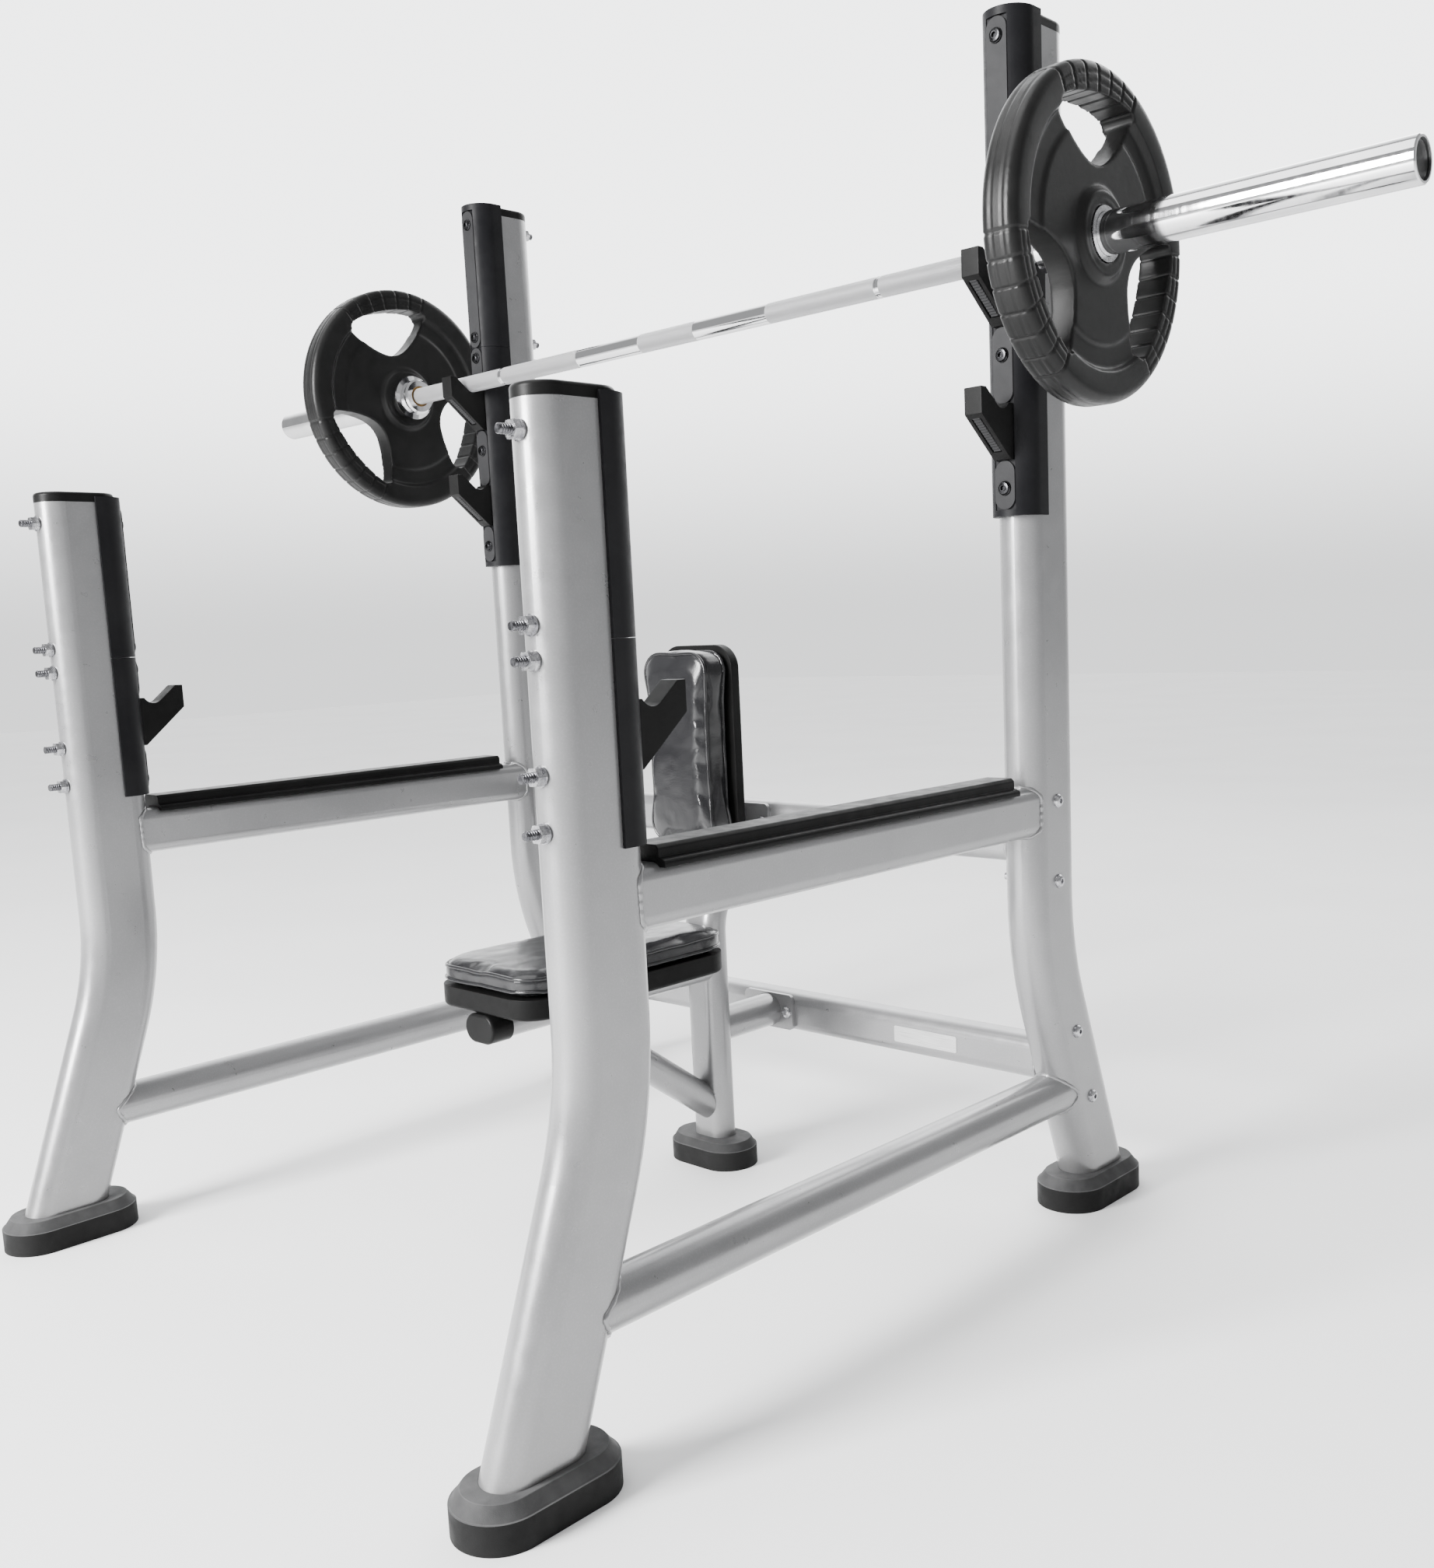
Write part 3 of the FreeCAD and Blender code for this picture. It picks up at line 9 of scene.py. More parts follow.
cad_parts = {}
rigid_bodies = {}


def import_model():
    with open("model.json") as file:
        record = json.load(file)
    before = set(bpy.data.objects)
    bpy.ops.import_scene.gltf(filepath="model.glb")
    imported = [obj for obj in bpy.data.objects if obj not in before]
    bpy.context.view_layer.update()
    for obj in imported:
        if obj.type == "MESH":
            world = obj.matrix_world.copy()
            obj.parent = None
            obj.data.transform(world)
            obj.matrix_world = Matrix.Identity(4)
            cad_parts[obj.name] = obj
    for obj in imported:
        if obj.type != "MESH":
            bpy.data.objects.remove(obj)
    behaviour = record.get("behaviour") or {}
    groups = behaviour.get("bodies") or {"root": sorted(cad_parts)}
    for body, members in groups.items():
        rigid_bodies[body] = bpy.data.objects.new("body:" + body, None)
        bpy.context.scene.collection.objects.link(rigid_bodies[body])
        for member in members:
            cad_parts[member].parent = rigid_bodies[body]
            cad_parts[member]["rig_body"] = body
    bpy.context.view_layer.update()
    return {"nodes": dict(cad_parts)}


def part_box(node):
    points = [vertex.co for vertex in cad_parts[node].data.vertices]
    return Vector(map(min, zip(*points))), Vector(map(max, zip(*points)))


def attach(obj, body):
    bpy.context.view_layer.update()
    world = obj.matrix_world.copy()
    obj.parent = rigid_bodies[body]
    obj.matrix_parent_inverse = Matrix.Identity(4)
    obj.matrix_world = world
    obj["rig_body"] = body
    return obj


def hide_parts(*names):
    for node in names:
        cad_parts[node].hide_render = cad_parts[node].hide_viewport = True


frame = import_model()
nodes = frame["nodes"]

# ---------------------------------------------------------------------------------------------
# Columns: two front posts and two taller uprights, bent from flat-sided oval steel tube.
# They are powder coated in light silver, with the faint orange peel that such a coat dries to,
# and pick up small scuffs and floor dust low down.
# ---------------------------------------------------------------------------------------------


def new_finish(name, colour, roughness, metallic=0.0):
    """A material with its shader, ready for more nodes."""
    finish = bpy.data.materials.new(name)
    finish.use_nodes = True
    shader = finish.node_tree.nodes["Principled BSDF"]
    shader.inputs["Base Color"].default_value = (*colour, 1.0)
    shader.inputs["Roughness"].default_value = roughness
    shader.inputs["Metallic"].default_value = metallic
    return finish, shader


def speckle(finish, scale, detail=3.0, stretch=(1.0, 1.0, 1.0)):
    """Noise over the piece's own coordinates, in grains per metre."""
    tree = finish.node_tree
    place = tree.nodes.new("ShaderNodeTexCoord")
    mapping = tree.nodes.new("ShaderNodeMapping")
    mapping.inputs["Scale"].default_value = stretch
    grain = tree.nodes.new("ShaderNodeTexNoise")
    grain.inputs["Scale"].default_value = scale
    grain.inputs["Detail"].default_value = detail
    tree.links.new(place.outputs["Object"], mapping.inputs["Vector"])
    tree.links.new(mapping.outputs["Vector"], grain.inputs["Vector"])
    return grain.outputs["Fac"]


def blend_colours(finish, factor, dark, light, low=0.3, high=0.7):
    """A colour that goes from dark to light as the factor rises from low to high."""
    ramp = finish.node_tree.nodes.new("ShaderNodeValToRGB")
    ramp.color_ramp.elements[0].position = low
    ramp.color_ramp.elements[0].color = (*dark, 1.0)
    ramp.color_ramp.elements[1].position = high
    ramp.color_ramp.elements[1].color = (*light, 1.0)
    finish.node_tree.links.new(factor, ramp.inputs["Fac"])
    return ramp.outputs["Color"]


def spread(finish, value, low, high, at_low, at_high):
    """A value stretched from one range to another, and held at its ends."""
    span = finish.node_tree.nodes.new("ShaderNodeMapRange")
    span.inputs["From Min"].default_value = low
    span.inputs["From Max"].default_value = high
    span.inputs["To Min"].default_value = at_low
    span.inputs["To Max"].default_value = at_high
    finish.node_tree.links.new(value, span.inputs["Value"])
    return span.outputs["Result"]


def vary_roughness(finish, shader, factor, smooth, rough):
    """Roughness that goes from smooth to rough with the factor."""
    roughness = spread(finish, factor, 0.3, 0.7, smooth, rough)
    finish.node_tree.links.new(roughness, shader.inputs["Roughness"])


def raise_surface(finish, shader, height, depth):
    """Bump from a height factor, depth being its full height in metres."""
    bump = finish.node_tree.nodes.new("ShaderNodeBump")
    bump.inputs["Distance"].default_value = depth
    finish.node_tree.links.new(height, bump.inputs["Height"])
    finish.node_tree.links.new(bump.outputs["Normal"], shader.inputs["Normal"])


def coordinate(finish, axis):
    """The piece's own X, Y or Z coordinate, in metres."""
    tree = finish.node_tree
    place = tree.nodes.new("ShaderNodeTexCoord")
    parts = tree.nodes.new("ShaderNodeSeparateXYZ")
    tree.links.new(place.outputs["Object"], parts.inputs["Vector"])
    return parts.outputs[axis]


def mix_colours(finish, factor, first, second):
    """first where the factor is 0, second where it is 1; either may be a plain colour."""
    tree = finish.node_tree
    mix = tree.nodes.new("ShaderNodeMix")
    mix.data_type = "RGBA"
    tree.links.new(factor, mix.inputs["Factor"])
    for socket, colour in (("A", first), ("B", second)):
        if isinstance(colour, tuple):
            mix.inputs[socket].default_value = (*colour, 1.0)
        else:
            tree.links.new(colour, mix.inputs[socket])
    return mix.outputs["Result"]


def coat_node(name, finish):
    """Give a carried-over CAD node its finish."""
    node = nodes[name]
    node.data.materials.clear()
    node.data.materials.append(finish)


def silver_powder_coat():
    """Half-metallic light silver powder under a clear coat."""
    finish, shader = new_finish("silver_powder_coat", (0.24, 0.24, 0.244), 0.34, 0.55)
    coat = blend_colours(finish, speckle(finish, 6.0, 4.0),
                         (0.23, 0.23, 0.234), (0.26, 0.26, 0.264))
    # Fine metal flake, then floor dust that fades out a hand's width above the feet.
    flake = spread(finish, speckle(finish, 480.0, 1.0), 0.45, 0.80, 0.0, 0.12)
    coat = mix_colours(finish, flake, coat, (0.45, 0.45, 0.46))
    dust = spread(finish, coordinate(finish, "Z"), 0.04, 0.15, 0.30, 0.0)
    coat = mix_colours(finish, dust, coat, (0.19, 0.186, 0.18))
    finish.node_tree.links.new(coat, shader.inputs["Base Color"])
    vary_roughness(finish, shader, speckle(finish, 45.0, 5.0), 0.27, 0.38)
    shader.inputs["Coat Weight"].default_value = 0.5
    shader.inputs["Coat Roughness"].default_value = 0.12
    raise_surface(finish, shader, speckle(finish, 420.0, 2.0), 0.00006)
    return finish


silver = silver_powder_coat()
for side in ("left", "right"):
    for column in ("front_post", "upright"):
        coat_node(side + "_" + column, silver)

# ---------------------------------------------------------------------------------------------
# Column caps: shallow black plastic caps pushed into the open tops of the four columns, each
# moulded in one piece with a fine, even grain.
# ---------------------------------------------------------------------------------------------


def moulded_plastic(name, dark, light, smooth, rough, grain_size, grain_depth, shine=0.10):
    """Moulded plastic or rubber: spark-eroded grain and slightly uneven gloss."""
    finish, shader = new_finish(name, light, rough)
    shader.inputs["Specular IOR Level"].default_value = shine
    tint = blend_colours(finish, speckle(finish, 14.0, 5.0), dark, light)
    finish.node_tree.links.new(tint, shader.inputs["Base Color"])
    vary_roughness(finish, shader, speckle(finish, 60.0, 4.0), smooth, rough)
    raise_surface(finish, shader, speckle(finish, grain_size, 2.0), grain_depth)
    return finish


cap_plastic = moulded_plastic("cap_plastic", (0.004, 0.004, 0.004), (0.008, 0.008, 0.008),
                              0.30, 0.42, 1400.0, 0.00006)
coat_node("column_caps", cap_plastic)

# ---------------------------------------------------------------------------------------------
# Feet: moulded rubber shoes on the four columns, with a plain skirt and a deck that slopes up
# to the tube.  Moulding softly rounds their edges, and painted light makes the deck greyer.
# ---------------------------------------------------------------------------------------------


def place_mesh(form, name, finish=None):
    """An object made of the finished form, put in the scene."""
    mesh = bpy.data.meshes.new(name)
    form.to_mesh(mesh)
    form.free()
    if finish:
        mesh.materials.append(finish)
    piece = bpy.data.objects.new(name, mesh)
    bpy.context.collection.objects.link(piece)
    return piece


def soften(name, width, finish, steps=2, longer_than=0.0):
    """A copy of a CAD piece with its sharp edges rounded, as moulding or machining leaves them."""
    rounded_above = math.radians(28.0)
    smooth_below = math.radians(34.0)
    form = bmesh.new()
    form.from_mesh(nodes[name].data)
    bmesh.ops.remove_doubles(form, verts=form.verts, dist=0.00002)
    bmesh.ops.dissolve_limit(form, angle_limit=math.radians(1.5),
                             verts=form.verts, edges=form.edges)
    edges = [edge for edge in form.edges
             if edge.is_manifold and edge.calc_face_angle(0.0) > rounded_above
             and edge.calc_length() > longer_than]
    bmesh.ops.bevel(form, geom=edges, offset=width, segments=steps, profile=0.6, affect="EDGES",
                    clamp_overlap=True)
    for face in form.faces:
        face.smooth = True
    for edge in form.edges:
        edge.smooth = not edge.is_manifold or edge.calc_face_angle(0.0) < smooth_below
    piece = place_mesh(form, name + "_soft", finish)
    weighted = piece.modifiers.new("even_normals", "WEIGHTED_NORMAL")
    weighted.keep_sharp = True
    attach(piece, nodes[name]["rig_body"])
    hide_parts(name)


foot_rubber = moulded_plastic("foot_rubber", (0.007, 0.007, 0.007), (0.012, 0.012, 0.012),
                              0.50, 0.68, 900.0, 0.0002)
# Painted light: whatever faces up is painted lighter than the skirt, as if lit from above.
tree = foot_rubber.node_tree
lie = tree.nodes.new("ShaderNodeNewGeometry")
lie_parts = tree.nodes.new("ShaderNodeSeparateXYZ")
tree.links.new(lie.outputs["Normal"], lie_parts.inputs["Vector"])
facing_up = spread(foot_rubber, lie_parts.outputs["Z"], 0.35, 0.80, 0.0, 1.0)
painted_light_deck = blend_colours(foot_rubber, speckle(foot_rubber, 55.0, 6.0), (0.062, 0.062, 0.063),
                        (0.088, 0.088, 0.089))
rubber_colour = tree.nodes["Principled BSDF"].inputs["Base Color"]
skirt = rubber_colour.links[0].from_socket
# The deck colour is the skirt's, with the painted light mixed in where the rubber faces up.
deck = mix_colours(foot_rubber, facing_up, skirt, painted_light_deck)
tree.links.new(deck, rubber_colour)
for side in ("left", "right"):
    for end in ("front", "rear"):
        soften("%s_%s_foot" % (side, end), 0.003, foot_rubber, steps=3)

# ---------------------------------------------------------------------------------------------
# Side rails: a rounded box-section rail above and a round one below, coped to the columns and
# welded all round.  The weld beads are painted over with the rest of the frame.
# ---------------------------------------------------------------------------------------------
for side in ("left", "right"):
    coat_node(side + "_upper_rail", silver)
    coat_node(side + "_lower_rail", silver)

column_stand = 0.396
column_flat = 0.025
column_round = 0.030
splay = math.radians(19.8)
splay_level = 0.378
straight_above = 0.45
rail_corner = 0.016


def column_face(across, height):
    """How far the column's inner face stands from its centre, at a place across and a height."""
    reach = column_flat + math.sqrt(max(0.0, column_round ** 2 - across ** 2))
    if height > straight_above:
        return reach
    return reach / math.cos(splay) - (splay_level - height) * math.tan(splay)


def weld_bead(name, path, radius):
    """A closed bead that follows the path, with the scalloped ripple of a hand-run weld."""
    around = 8
    form = bmesh.new()
    rings = []
    count = len(path)
    for index, point in enumerate(path):
        ahead = (path[(index + 1) % count] - path[index - 1]).normalized()
        first = ahead.orthogonal().normalized()
        if rings:
            first = (last_first - ahead * ahead.dot(last_first)).normalized()
        last_first = first
        second = ahead.cross(first)
        size = radius * (1.0 + 0.16 * math.sin(index * 1.9) + 0.12 * noise.noise(point * 90.0))
        ring = []
        for step in range(around):
            angle = 2 * math.pi * step / around
            out = math.cos(angle) * first + math.sin(angle) * second
            ring.append(form.verts.new(point + size * out))
        rings.append(ring)
    for index in range(count):
        ring, following = rings[index], rings[(index + 1) % count]
        # The last ring joins the first at whichever turn leaves the bead least twisted.
        shift = 0
        if index == count - 1:
            shift = min(range(around), key=lambda s: (ring[0].co - following[s].co).length)
        for step in range(around):
            ahead = (step + 1) % around
            form.faces.new((ring[step], ring[ahead], following[(ahead + shift) % around],
                            following[(step + shift) % around]))
    for face in form.faces:
        face.smooth = True
    bmesh.ops.recalc_face_normals(form, faces=form.faces)
    bead = place_mesh(form, name, silver)
    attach(bead, "frame")


def rounded_outline(half_wide, half_tall, corner, steps):
    """Points round a rounded rectangle, about its own centre and at most 3 mm apart or so."""
    points = []
    for quarter, (sign_x, sign_z) in enumerate(((1, 1), (-1, 1), (-1, -1), (1, -1))):
        for step in range(steps):
            angle = math.pi / 2 * (quarter + step / steps)
            points.append((sign_x * (half_wide - corner) + corner * math.cos(angle),
                           sign_z * (half_tall - corner) + corner * math.sin(angle)))
    dense = []
    for index, (x, z) in enumerate(points):
        next_x, next_z = points[(index + 1) % len(points)]
        pieces = max(1, round(math.hypot(next_x - x, next_z - z) / 0.003))
        for part in range(pieces):
            share = part / pieces
            dense.append((x + (next_x - x) * share, z + (next_z - z) * share))
    return dense


def round_outline(half_wide, half_tall, steps):
    """Points round an ellipse, about its own centre."""
    angles = [2 * math.pi * step / steps for step in range(steps)]
    return [(half_wide * math.cos(angle), half_tall * math.sin(angle)) for angle in angles]


# The lower rail's bead is a hair narrower than the rail, so that it stays on the column's round.
bead_tuck = 0.0003
rail_bead = 0.0030
for side in ("left", "right"):
    for end, direction in (("front", -1.0), ("rear", 1.0)):
        for rail in ("upper", "lower"):
            low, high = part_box("%s_%s_rail" % (side, rail))
            track = (low[0] + high[0]) / 2
            level = (low[2] + high[2]) / 2
            half_wide = (high[0] - low[0]) / 2
            half_tall = (high[2] - low[2]) / 2
            if rail == "upper":
                outline = rounded_outline(half_wide, half_tall, rail_corner, 6)
            else:
                outline = round_outline(half_wide - bead_tuck, half_tall, 64)
            path = [Vector((track + x, direction * (column_stand - column_face(x, level + z)),
                            level + z))
                    for x, z in outline]
            weld_bead("%s_%s_rail_weld_%s" % (side, rail, end), path, rail_bead)

# ---------------------------------------------------------------------------------------------
# Rail covers: black rubber mouldings pushed over the top of the upper rails so that a dropped
# bar does not mark them.
# ---------------------------------------------------------------------------------------------
cover_rubber = moulded_plastic("cover_rubber", (0.003, 0.003, 0.003), (0.006, 0.006, 0.006),
                               0.34, 0.50, 800.0, 0.00018)
for side in ("left", "right"):
    soften(side + "_rail_cover", 0.0012, cover_rubber)

# ---------------------------------------------------------------------------------------------
# Guards: black U-shaped mouldings bolted round the inner end of each column.  Each has a long
# groove filled with dark grey strips, and the hooks stand out of the groove.
# ---------------------------------------------------------------------------------------------
guard_plastic = moulded_plastic("guard_plastic", (0.006, 0.006, 0.007), (0.011, 0.011, 0.012),
                                0.38, 0.52, 1100.0, 0.00014)
strip_plastic = moulded_plastic("strip_plastic", (0.020, 0.020, 0.021), (0.028, 0.028, 0.029),
                                0.45, 0.60, 1100.0, 0.00012)
for side in ("left", "right"):
    for guard in ("upright_top", "upright_hook", "front_top", "front_hook"):
        soften("%s_%s_guard" % (side, guard), 0.0015, guard_plastic,
               longer_than=0.004)
    coat_node(side + "_guard_strips", strip_plastic)

# ---------------------------------------------------------------------------------------------
# Hooks: black moulded cups for the bar, one piece each.  A paler ribbed strip is let into the
# channel along the sloping underside.
# ---------------------------------------------------------------------------------------------
hook_plastic = moulded_plastic("hook_plastic", (0.004, 0.004, 0.004), (0.008, 0.008, 0.008),
                               0.38, 0.52, 1000.0, 0.00015)
strip_root = (0.0165, 0.0110)
strip_lip = (0.0050, 0.0500)
strip_half_wide = 0.0055
strip_chamfer = 0.0006
strip_foot = 0.0002
strip_rise = 0.0011
strip_ridge = 0.0004
strip_steps = 56


def wear_strip(name, hook):
    """A thin ribbed strip in the channel under a hook, from its root up to its lip.

    strip_root and strip_lip are its ends, in from the hook's own end and up from its foot."""
    low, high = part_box(hook)
    centre = (low[0] + high[0]) / 2
    root_y, lip_y = (low[1], high[1]) if "front_hook" in hook else (high[1], low[1])
    outward = 1.0 if lip_y > root_y else -1.0
    start = Vector((centre, root_y + outward * strip_root[0], low[2] + strip_root[1]))
    end = Vector((centre, lip_y - outward * strip_lip[0], low[2] + strip_lip[1]))
    across = Vector((1.0, 0.0, 0.0))
    down = across.cross((end - start).normalized())
    if down.z > 0:
        down.negate()
    form = bmesh.new()
    rows = []
    for step in range(strip_steps + 1):
        # Every second step is level, and the ones between stand up and down in turn.
        rise = strip_rise + strip_ridge * math.sin(step * math.pi / 2)
        if step in (0, strip_steps):
            rise = strip_foot
        middle = start + (end - start) * step / strip_steps
        top = across * (strip_half_wide - strip_chamfer)
        foot = across * strip_half_wide
        rows.append([form.verts.new(middle - foot + down * strip_foot),
                     form.verts.new(middle - top + down * rise),
                     form.verts.new(middle + top + down * rise),
                     form.verts.new(middle + foot + down * strip_foot)])
    for row, following in zip(rows, rows[1:]):
        for corner in range(4):
            ahead = (corner + 1) % 4
            form.faces.new((row[corner], row[ahead], following[ahead], following[corner]))
    form.faces.new(rows[0])
    form.faces.new(rows[-1])
    bmesh.ops.recalc_face_normals(form, faces=form.faces)
    piece = place_mesh(form, name, strip_plastic)
    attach(piece, "frame")


for side in ("left", "right"):
    for hook in ("upper_hook", "lower_hook", "front_hook"):
        soften(side + "_" + hook, 0.0016, hook_plastic)
        wear_strip("%s_%s_strip" % (side, hook), side + "_" + hook)

# ---------------------------------------------------------------------------------------------
# Fasteners: socket button bolts, blackened at the heads that show in the guards and bright at
# the threaded ends, with zinc-plated flange nuts behind and bright bolts in the cross members.
# ---------------------------------------------------------------------------------------------


def zinc_plate(name, blackened_heads=False):
    """Bright zinc; the heads, on the columns' inner side, are blackened where asked."""
    finish, shader = new_finish(name, (0.45, 0.45, 0.46), 0.30, 1.0)
    tint = blend_colours(finish, speckle(finish, 160.0, 4.0),
                         (0.30, 0.30, 0.32), (0.60, 0.60, 0.61))
    if blackened_heads:
        depth = finish.node_tree.nodes.new("ShaderNodeMath")
        depth.operation = "ABSOLUTE"
        finish.node_tree.links.new(coordinate(finish, "Y"), depth.inputs[0])
        head = spread(finish, depth.outputs["Value"], 0.345, 0.346, 1.0, 0.0)
        oiled = blend_colours(finish, speckle(finish, 220.0, 4.0),
                              (0.06, 0.06, 0.065), (0.16, 0.16, 0.17))
        tint = mix_colours(finish, head, oiled, (0.030, 0.030, 0.032))
        # Threads: fine ridges along the shank.
        wave = finish.node_tree.nodes.new("ShaderNodeTexWave")
        wave.bands_direction = "Y"
        wave.inputs["Scale"].default_value = 110.0
        place = finish.node_tree.nodes.new("ShaderNodeTexCoord")
        finish.node_tree.links.new(place.outputs["Object"], wave.inputs["Vector"])
        raise_surface(finish, shader, wave.outputs["Fac"], 0.0005)
    else:
        raise_surface(finish, shader, speckle(finish, 900.0, 2.0), 0.00005)
    finish.node_tree.links.new(tint, shader.inputs["Base Color"])
    vary_roughness(finish, shader, speckle(finish, 300.0, 3.0), 0.18, 0.38)
    return finish


zinc = zinc_plate("zinc_plate")
coat_node("guard_bolts", zinc_plate("zinc_black_heads", blackened_heads=True))
for fastener in ("guard_nuts", "cross_bolts", "flange_bolts"):
    coat_node(fastener, zinc)

# ---------------------------------------------------------------------------------------------
# Cross members: two rounded box-section tubes bolted between the uprights through end plates.
# A blank rating plate is stuck to the front of the lower one.
# ---------------------------------------------------------------------------------------------
for part in ("upper_cross_member", "lower_cross_member", "cross_end_plates"):
    coat_node(part, silver)

cross_bead = 0.0028
cross_bead_inset = 0.0012
for level in ("upper", "lower"):
    low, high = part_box(level + "_cross_member")
    middle = (Vector(low) + Vector(high)) / 2
    half_deep = (high[1] - low[1]) / 2
    half_tall = (high[2] - low[2]) / 2
    for side, end_x, inward in (("left", low[0], 1.0), ("right", high[0], -1.0)):
        path = [Vector((end_x + inward * cross_bead_inset, middle.y + y, middle.z + z))
                for y, z in rounded_outline(half_deep, half_tall, rail_corner, 6)]
        weld_bead("%s_%s_cross_weld" % (side, level), path, cross_bead)


def closed_slab(form, first, second):
    """Close the space between two like outlines with two ends and the faces round them."""
    form.faces.new(first)
    form.faces.new(list(reversed(second)))
    for index in range(len(first)):
        ahead = (index + 1) % len(first)
        form.faces.new((first[index], second[index], second[ahead], first[ahead]))
    bmesh.ops.recalc_face_normals(form, faces=form.faces)


foil, shader = new_finish("brushed_foil", (0.62, 0.62, 0.62), 0.35, 0.8)
brushed = speckle(foil, 900.0, 2.0, stretch=(0.03, 1.0, 1.0))
tint = blend_colours(foil, brushed, (0.50, 0.50, 0.50), (0.72, 0.72, 0.72))
foil.node_tree.links.new(tint, shader.inputs["Base Color"])
vary_roughness(foil, shader, brushed, 0.28, 0.45)

foil_half_wide = 0.058
foil_half_tall = 0.0125
foil_half_thick = 0.0004
foil_corner = 0.003
foil_share = 0.81
low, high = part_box("lower_cross_member")
foil_middle = Vector((low[0] + (high[0] - low[0]) * foil_share, low[1] - foil_half_thick,
                      (low[2] + high[2]) / 2))
form = bmesh.new()
faces = [[form.verts.new(foil_middle + Vector((x, y, z)))
          for x, z in rounded_outline(foil_half_wide, foil_half_tall, foil_corner, 5)]
         for y in (-foil_half_thick, foil_half_thick)]
closed_slab(form, *faces)
rating_plate = place_mesh(form, "rating_plate", foil)
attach(rating_plate, "frame")

# ---------------------------------------------------------------------------------------------
# Bench stand: the post, its foot, the seat tube with its plug, the brace, the link tube back
# to the lower cross member, and the two bolted flanges.
# ---------------------------------------------------------------------------------------------
for part in ("bench_post", "seat_tube", "seat_brace", "link_tube", "bench_flanges"):
    coat_node(part, silver)
soften("bench_foot", 0.0025, foot_rubber, steps=3)
coat_node("seat_tube_plug", cap_plastic)

# ---------------------------------------------------------------------------------------------
# Seat cushion: moulded foam under glossy black vinyl, stapled to a black board.  The vinyl is
# sewn from a top panel and a boxing strip, with a piped seam round the top edge and another
# where the strip turns under.
# ---------------------------------------------------------------------------------------------


def glossy_vinyl():
    """Black vinyl with a wet shine, pebbled and pulled a little out of flat."""
    finish, shader = new_finish("glossy_black_vinyl", (0.010, 0.010, 0.011), 0.16)
    shader.inputs["Specular IOR Level"].default_value = 0.38
    shader.inputs["Coat Weight"].default_value = 0.15
    shader.inputs["Coat Roughness"].default_value = 0.10
    tint = blend_colours(finish, speckle(finish, 9.0, 4.0),
                         (0.007, 0.007, 0.008), (0.015, 0.015, 0.016))
    finish.node_tree.links.new(tint, shader.inputs["Base Color"])
    vary_roughness(finish, shader, speckle(finish, 35.0, 4.0), 0.13, 0.26)
    # Leather-like pebble over broad, shallow pulls in the skin.
    tree = finish.node_tree
    pebble = tree.nodes.new("ShaderNodeTexVoronoi")
    pebble.inputs["Scale"].default_value = 620.0
    place = tree.nodes.new("ShaderNodeTexCoord")
    tree.links.new(place.outputs["Object"], pebble.inputs["Vector"])
    fine = tree.nodes.new("ShaderNodeBump")
    fine.inputs["Distance"].default_value = 0.00010
    tree.links.new(pebble.outputs["Distance"], fine.inputs["Height"])
    pulls = tree.nodes.new("ShaderNodeBump")
    pulls.inputs["Distance"].default_value = 0.0035
    tree.links.new(speckle(finish, 16.0, 2.0, stretch=(1.0, 0.6, 1.0)), pulls.inputs["Height"])
    tree.links.new(fine.outputs["Normal"], pulls.inputs["Normal"])
    tree.links.new(pulls.outputs["Normal"], shader.inputs["Normal"])
    return finish


vinyl = glossy_vinyl()
swell_steps = 20
swell_limit = 0.007
cushion_mesh = 0.005


def upholstered(name, node, margin):
    """Foam and cover: the CAD cushion taken in a little, then swollen by cloth under pressure."""
    low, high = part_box(node)
    centre = (Vector(low) + Vector(high)) / 2
    size = Vector(high) - Vector(low)
    mesh = nodes[node].data.copy()
    mesh.name = name
    for vertex in mesh.vertices:
        for axis in range(3):
            share = (size[axis] - 2 * margin[axis]) / size[axis]
            vertex.co[axis] = centre[axis] + (vertex.co[axis] - centre[axis]) * share
    cushion = bpy.data.objects.new(name, mesh)
    bpy.context.collection.objects.link(cushion)
    bpy.context.view_layer.objects.active = cushion
    remesh = cushion.modifiers.new("even_mesh", "REMESH")
    remesh.mode = "VOXEL"
    remesh.voxel_size = cushion_mesh
    bpy.ops.object.modifier_apply(modifier=remesh.name)
    rest = [vertex.co.copy() for vertex in cushion.data.vertices]
    cloth = cushion.modifiers.new("swell", "CLOTH")
    cloth.settings.quality = 5
    cloth.settings.mass = 0.35
    cloth.settings.tension_stiffness = 22.0
    cloth.settings.compression_stiffness = 22.0
    cloth.settings.shear_stiffness = 8.0
    cloth.settings.bending_stiffness = 1.2
    cloth.settings.use_pressure = True
    cloth.settings.uniform_pressure_force = 4.0
    cloth.settings.effector_weights.gravity = 0.0
    cloth.point_cache.frame_start = 1
    cloth.point_cache.frame_end = swell_steps
    for tick in range(1, swell_steps + 1):
        bpy.context.scene.frame_set(tick)
    bpy.ops.object.modifier_apply(modifier=cloth.name)
    bpy.context.scene.frame_set(1)
    for vertex, start in zip(cushion.data.vertices, rest):
        move = vertex.co - start
        if move.length > swell_limit:
            vertex.co = start + move.normalized() * swell_limit
    cushion.data.materials.clear()
    cushion.data.materials.append(vinyl)
    return cushion


def settle_on(cushion, axis, plane, side):
    """Press flat what has swollen past the board that the cushion is fixed to."""
    for vertex in cushion.data.vertices:
        if (vertex.co[axis] - plane) * side < 0.0:
            vertex.co[axis] = plane


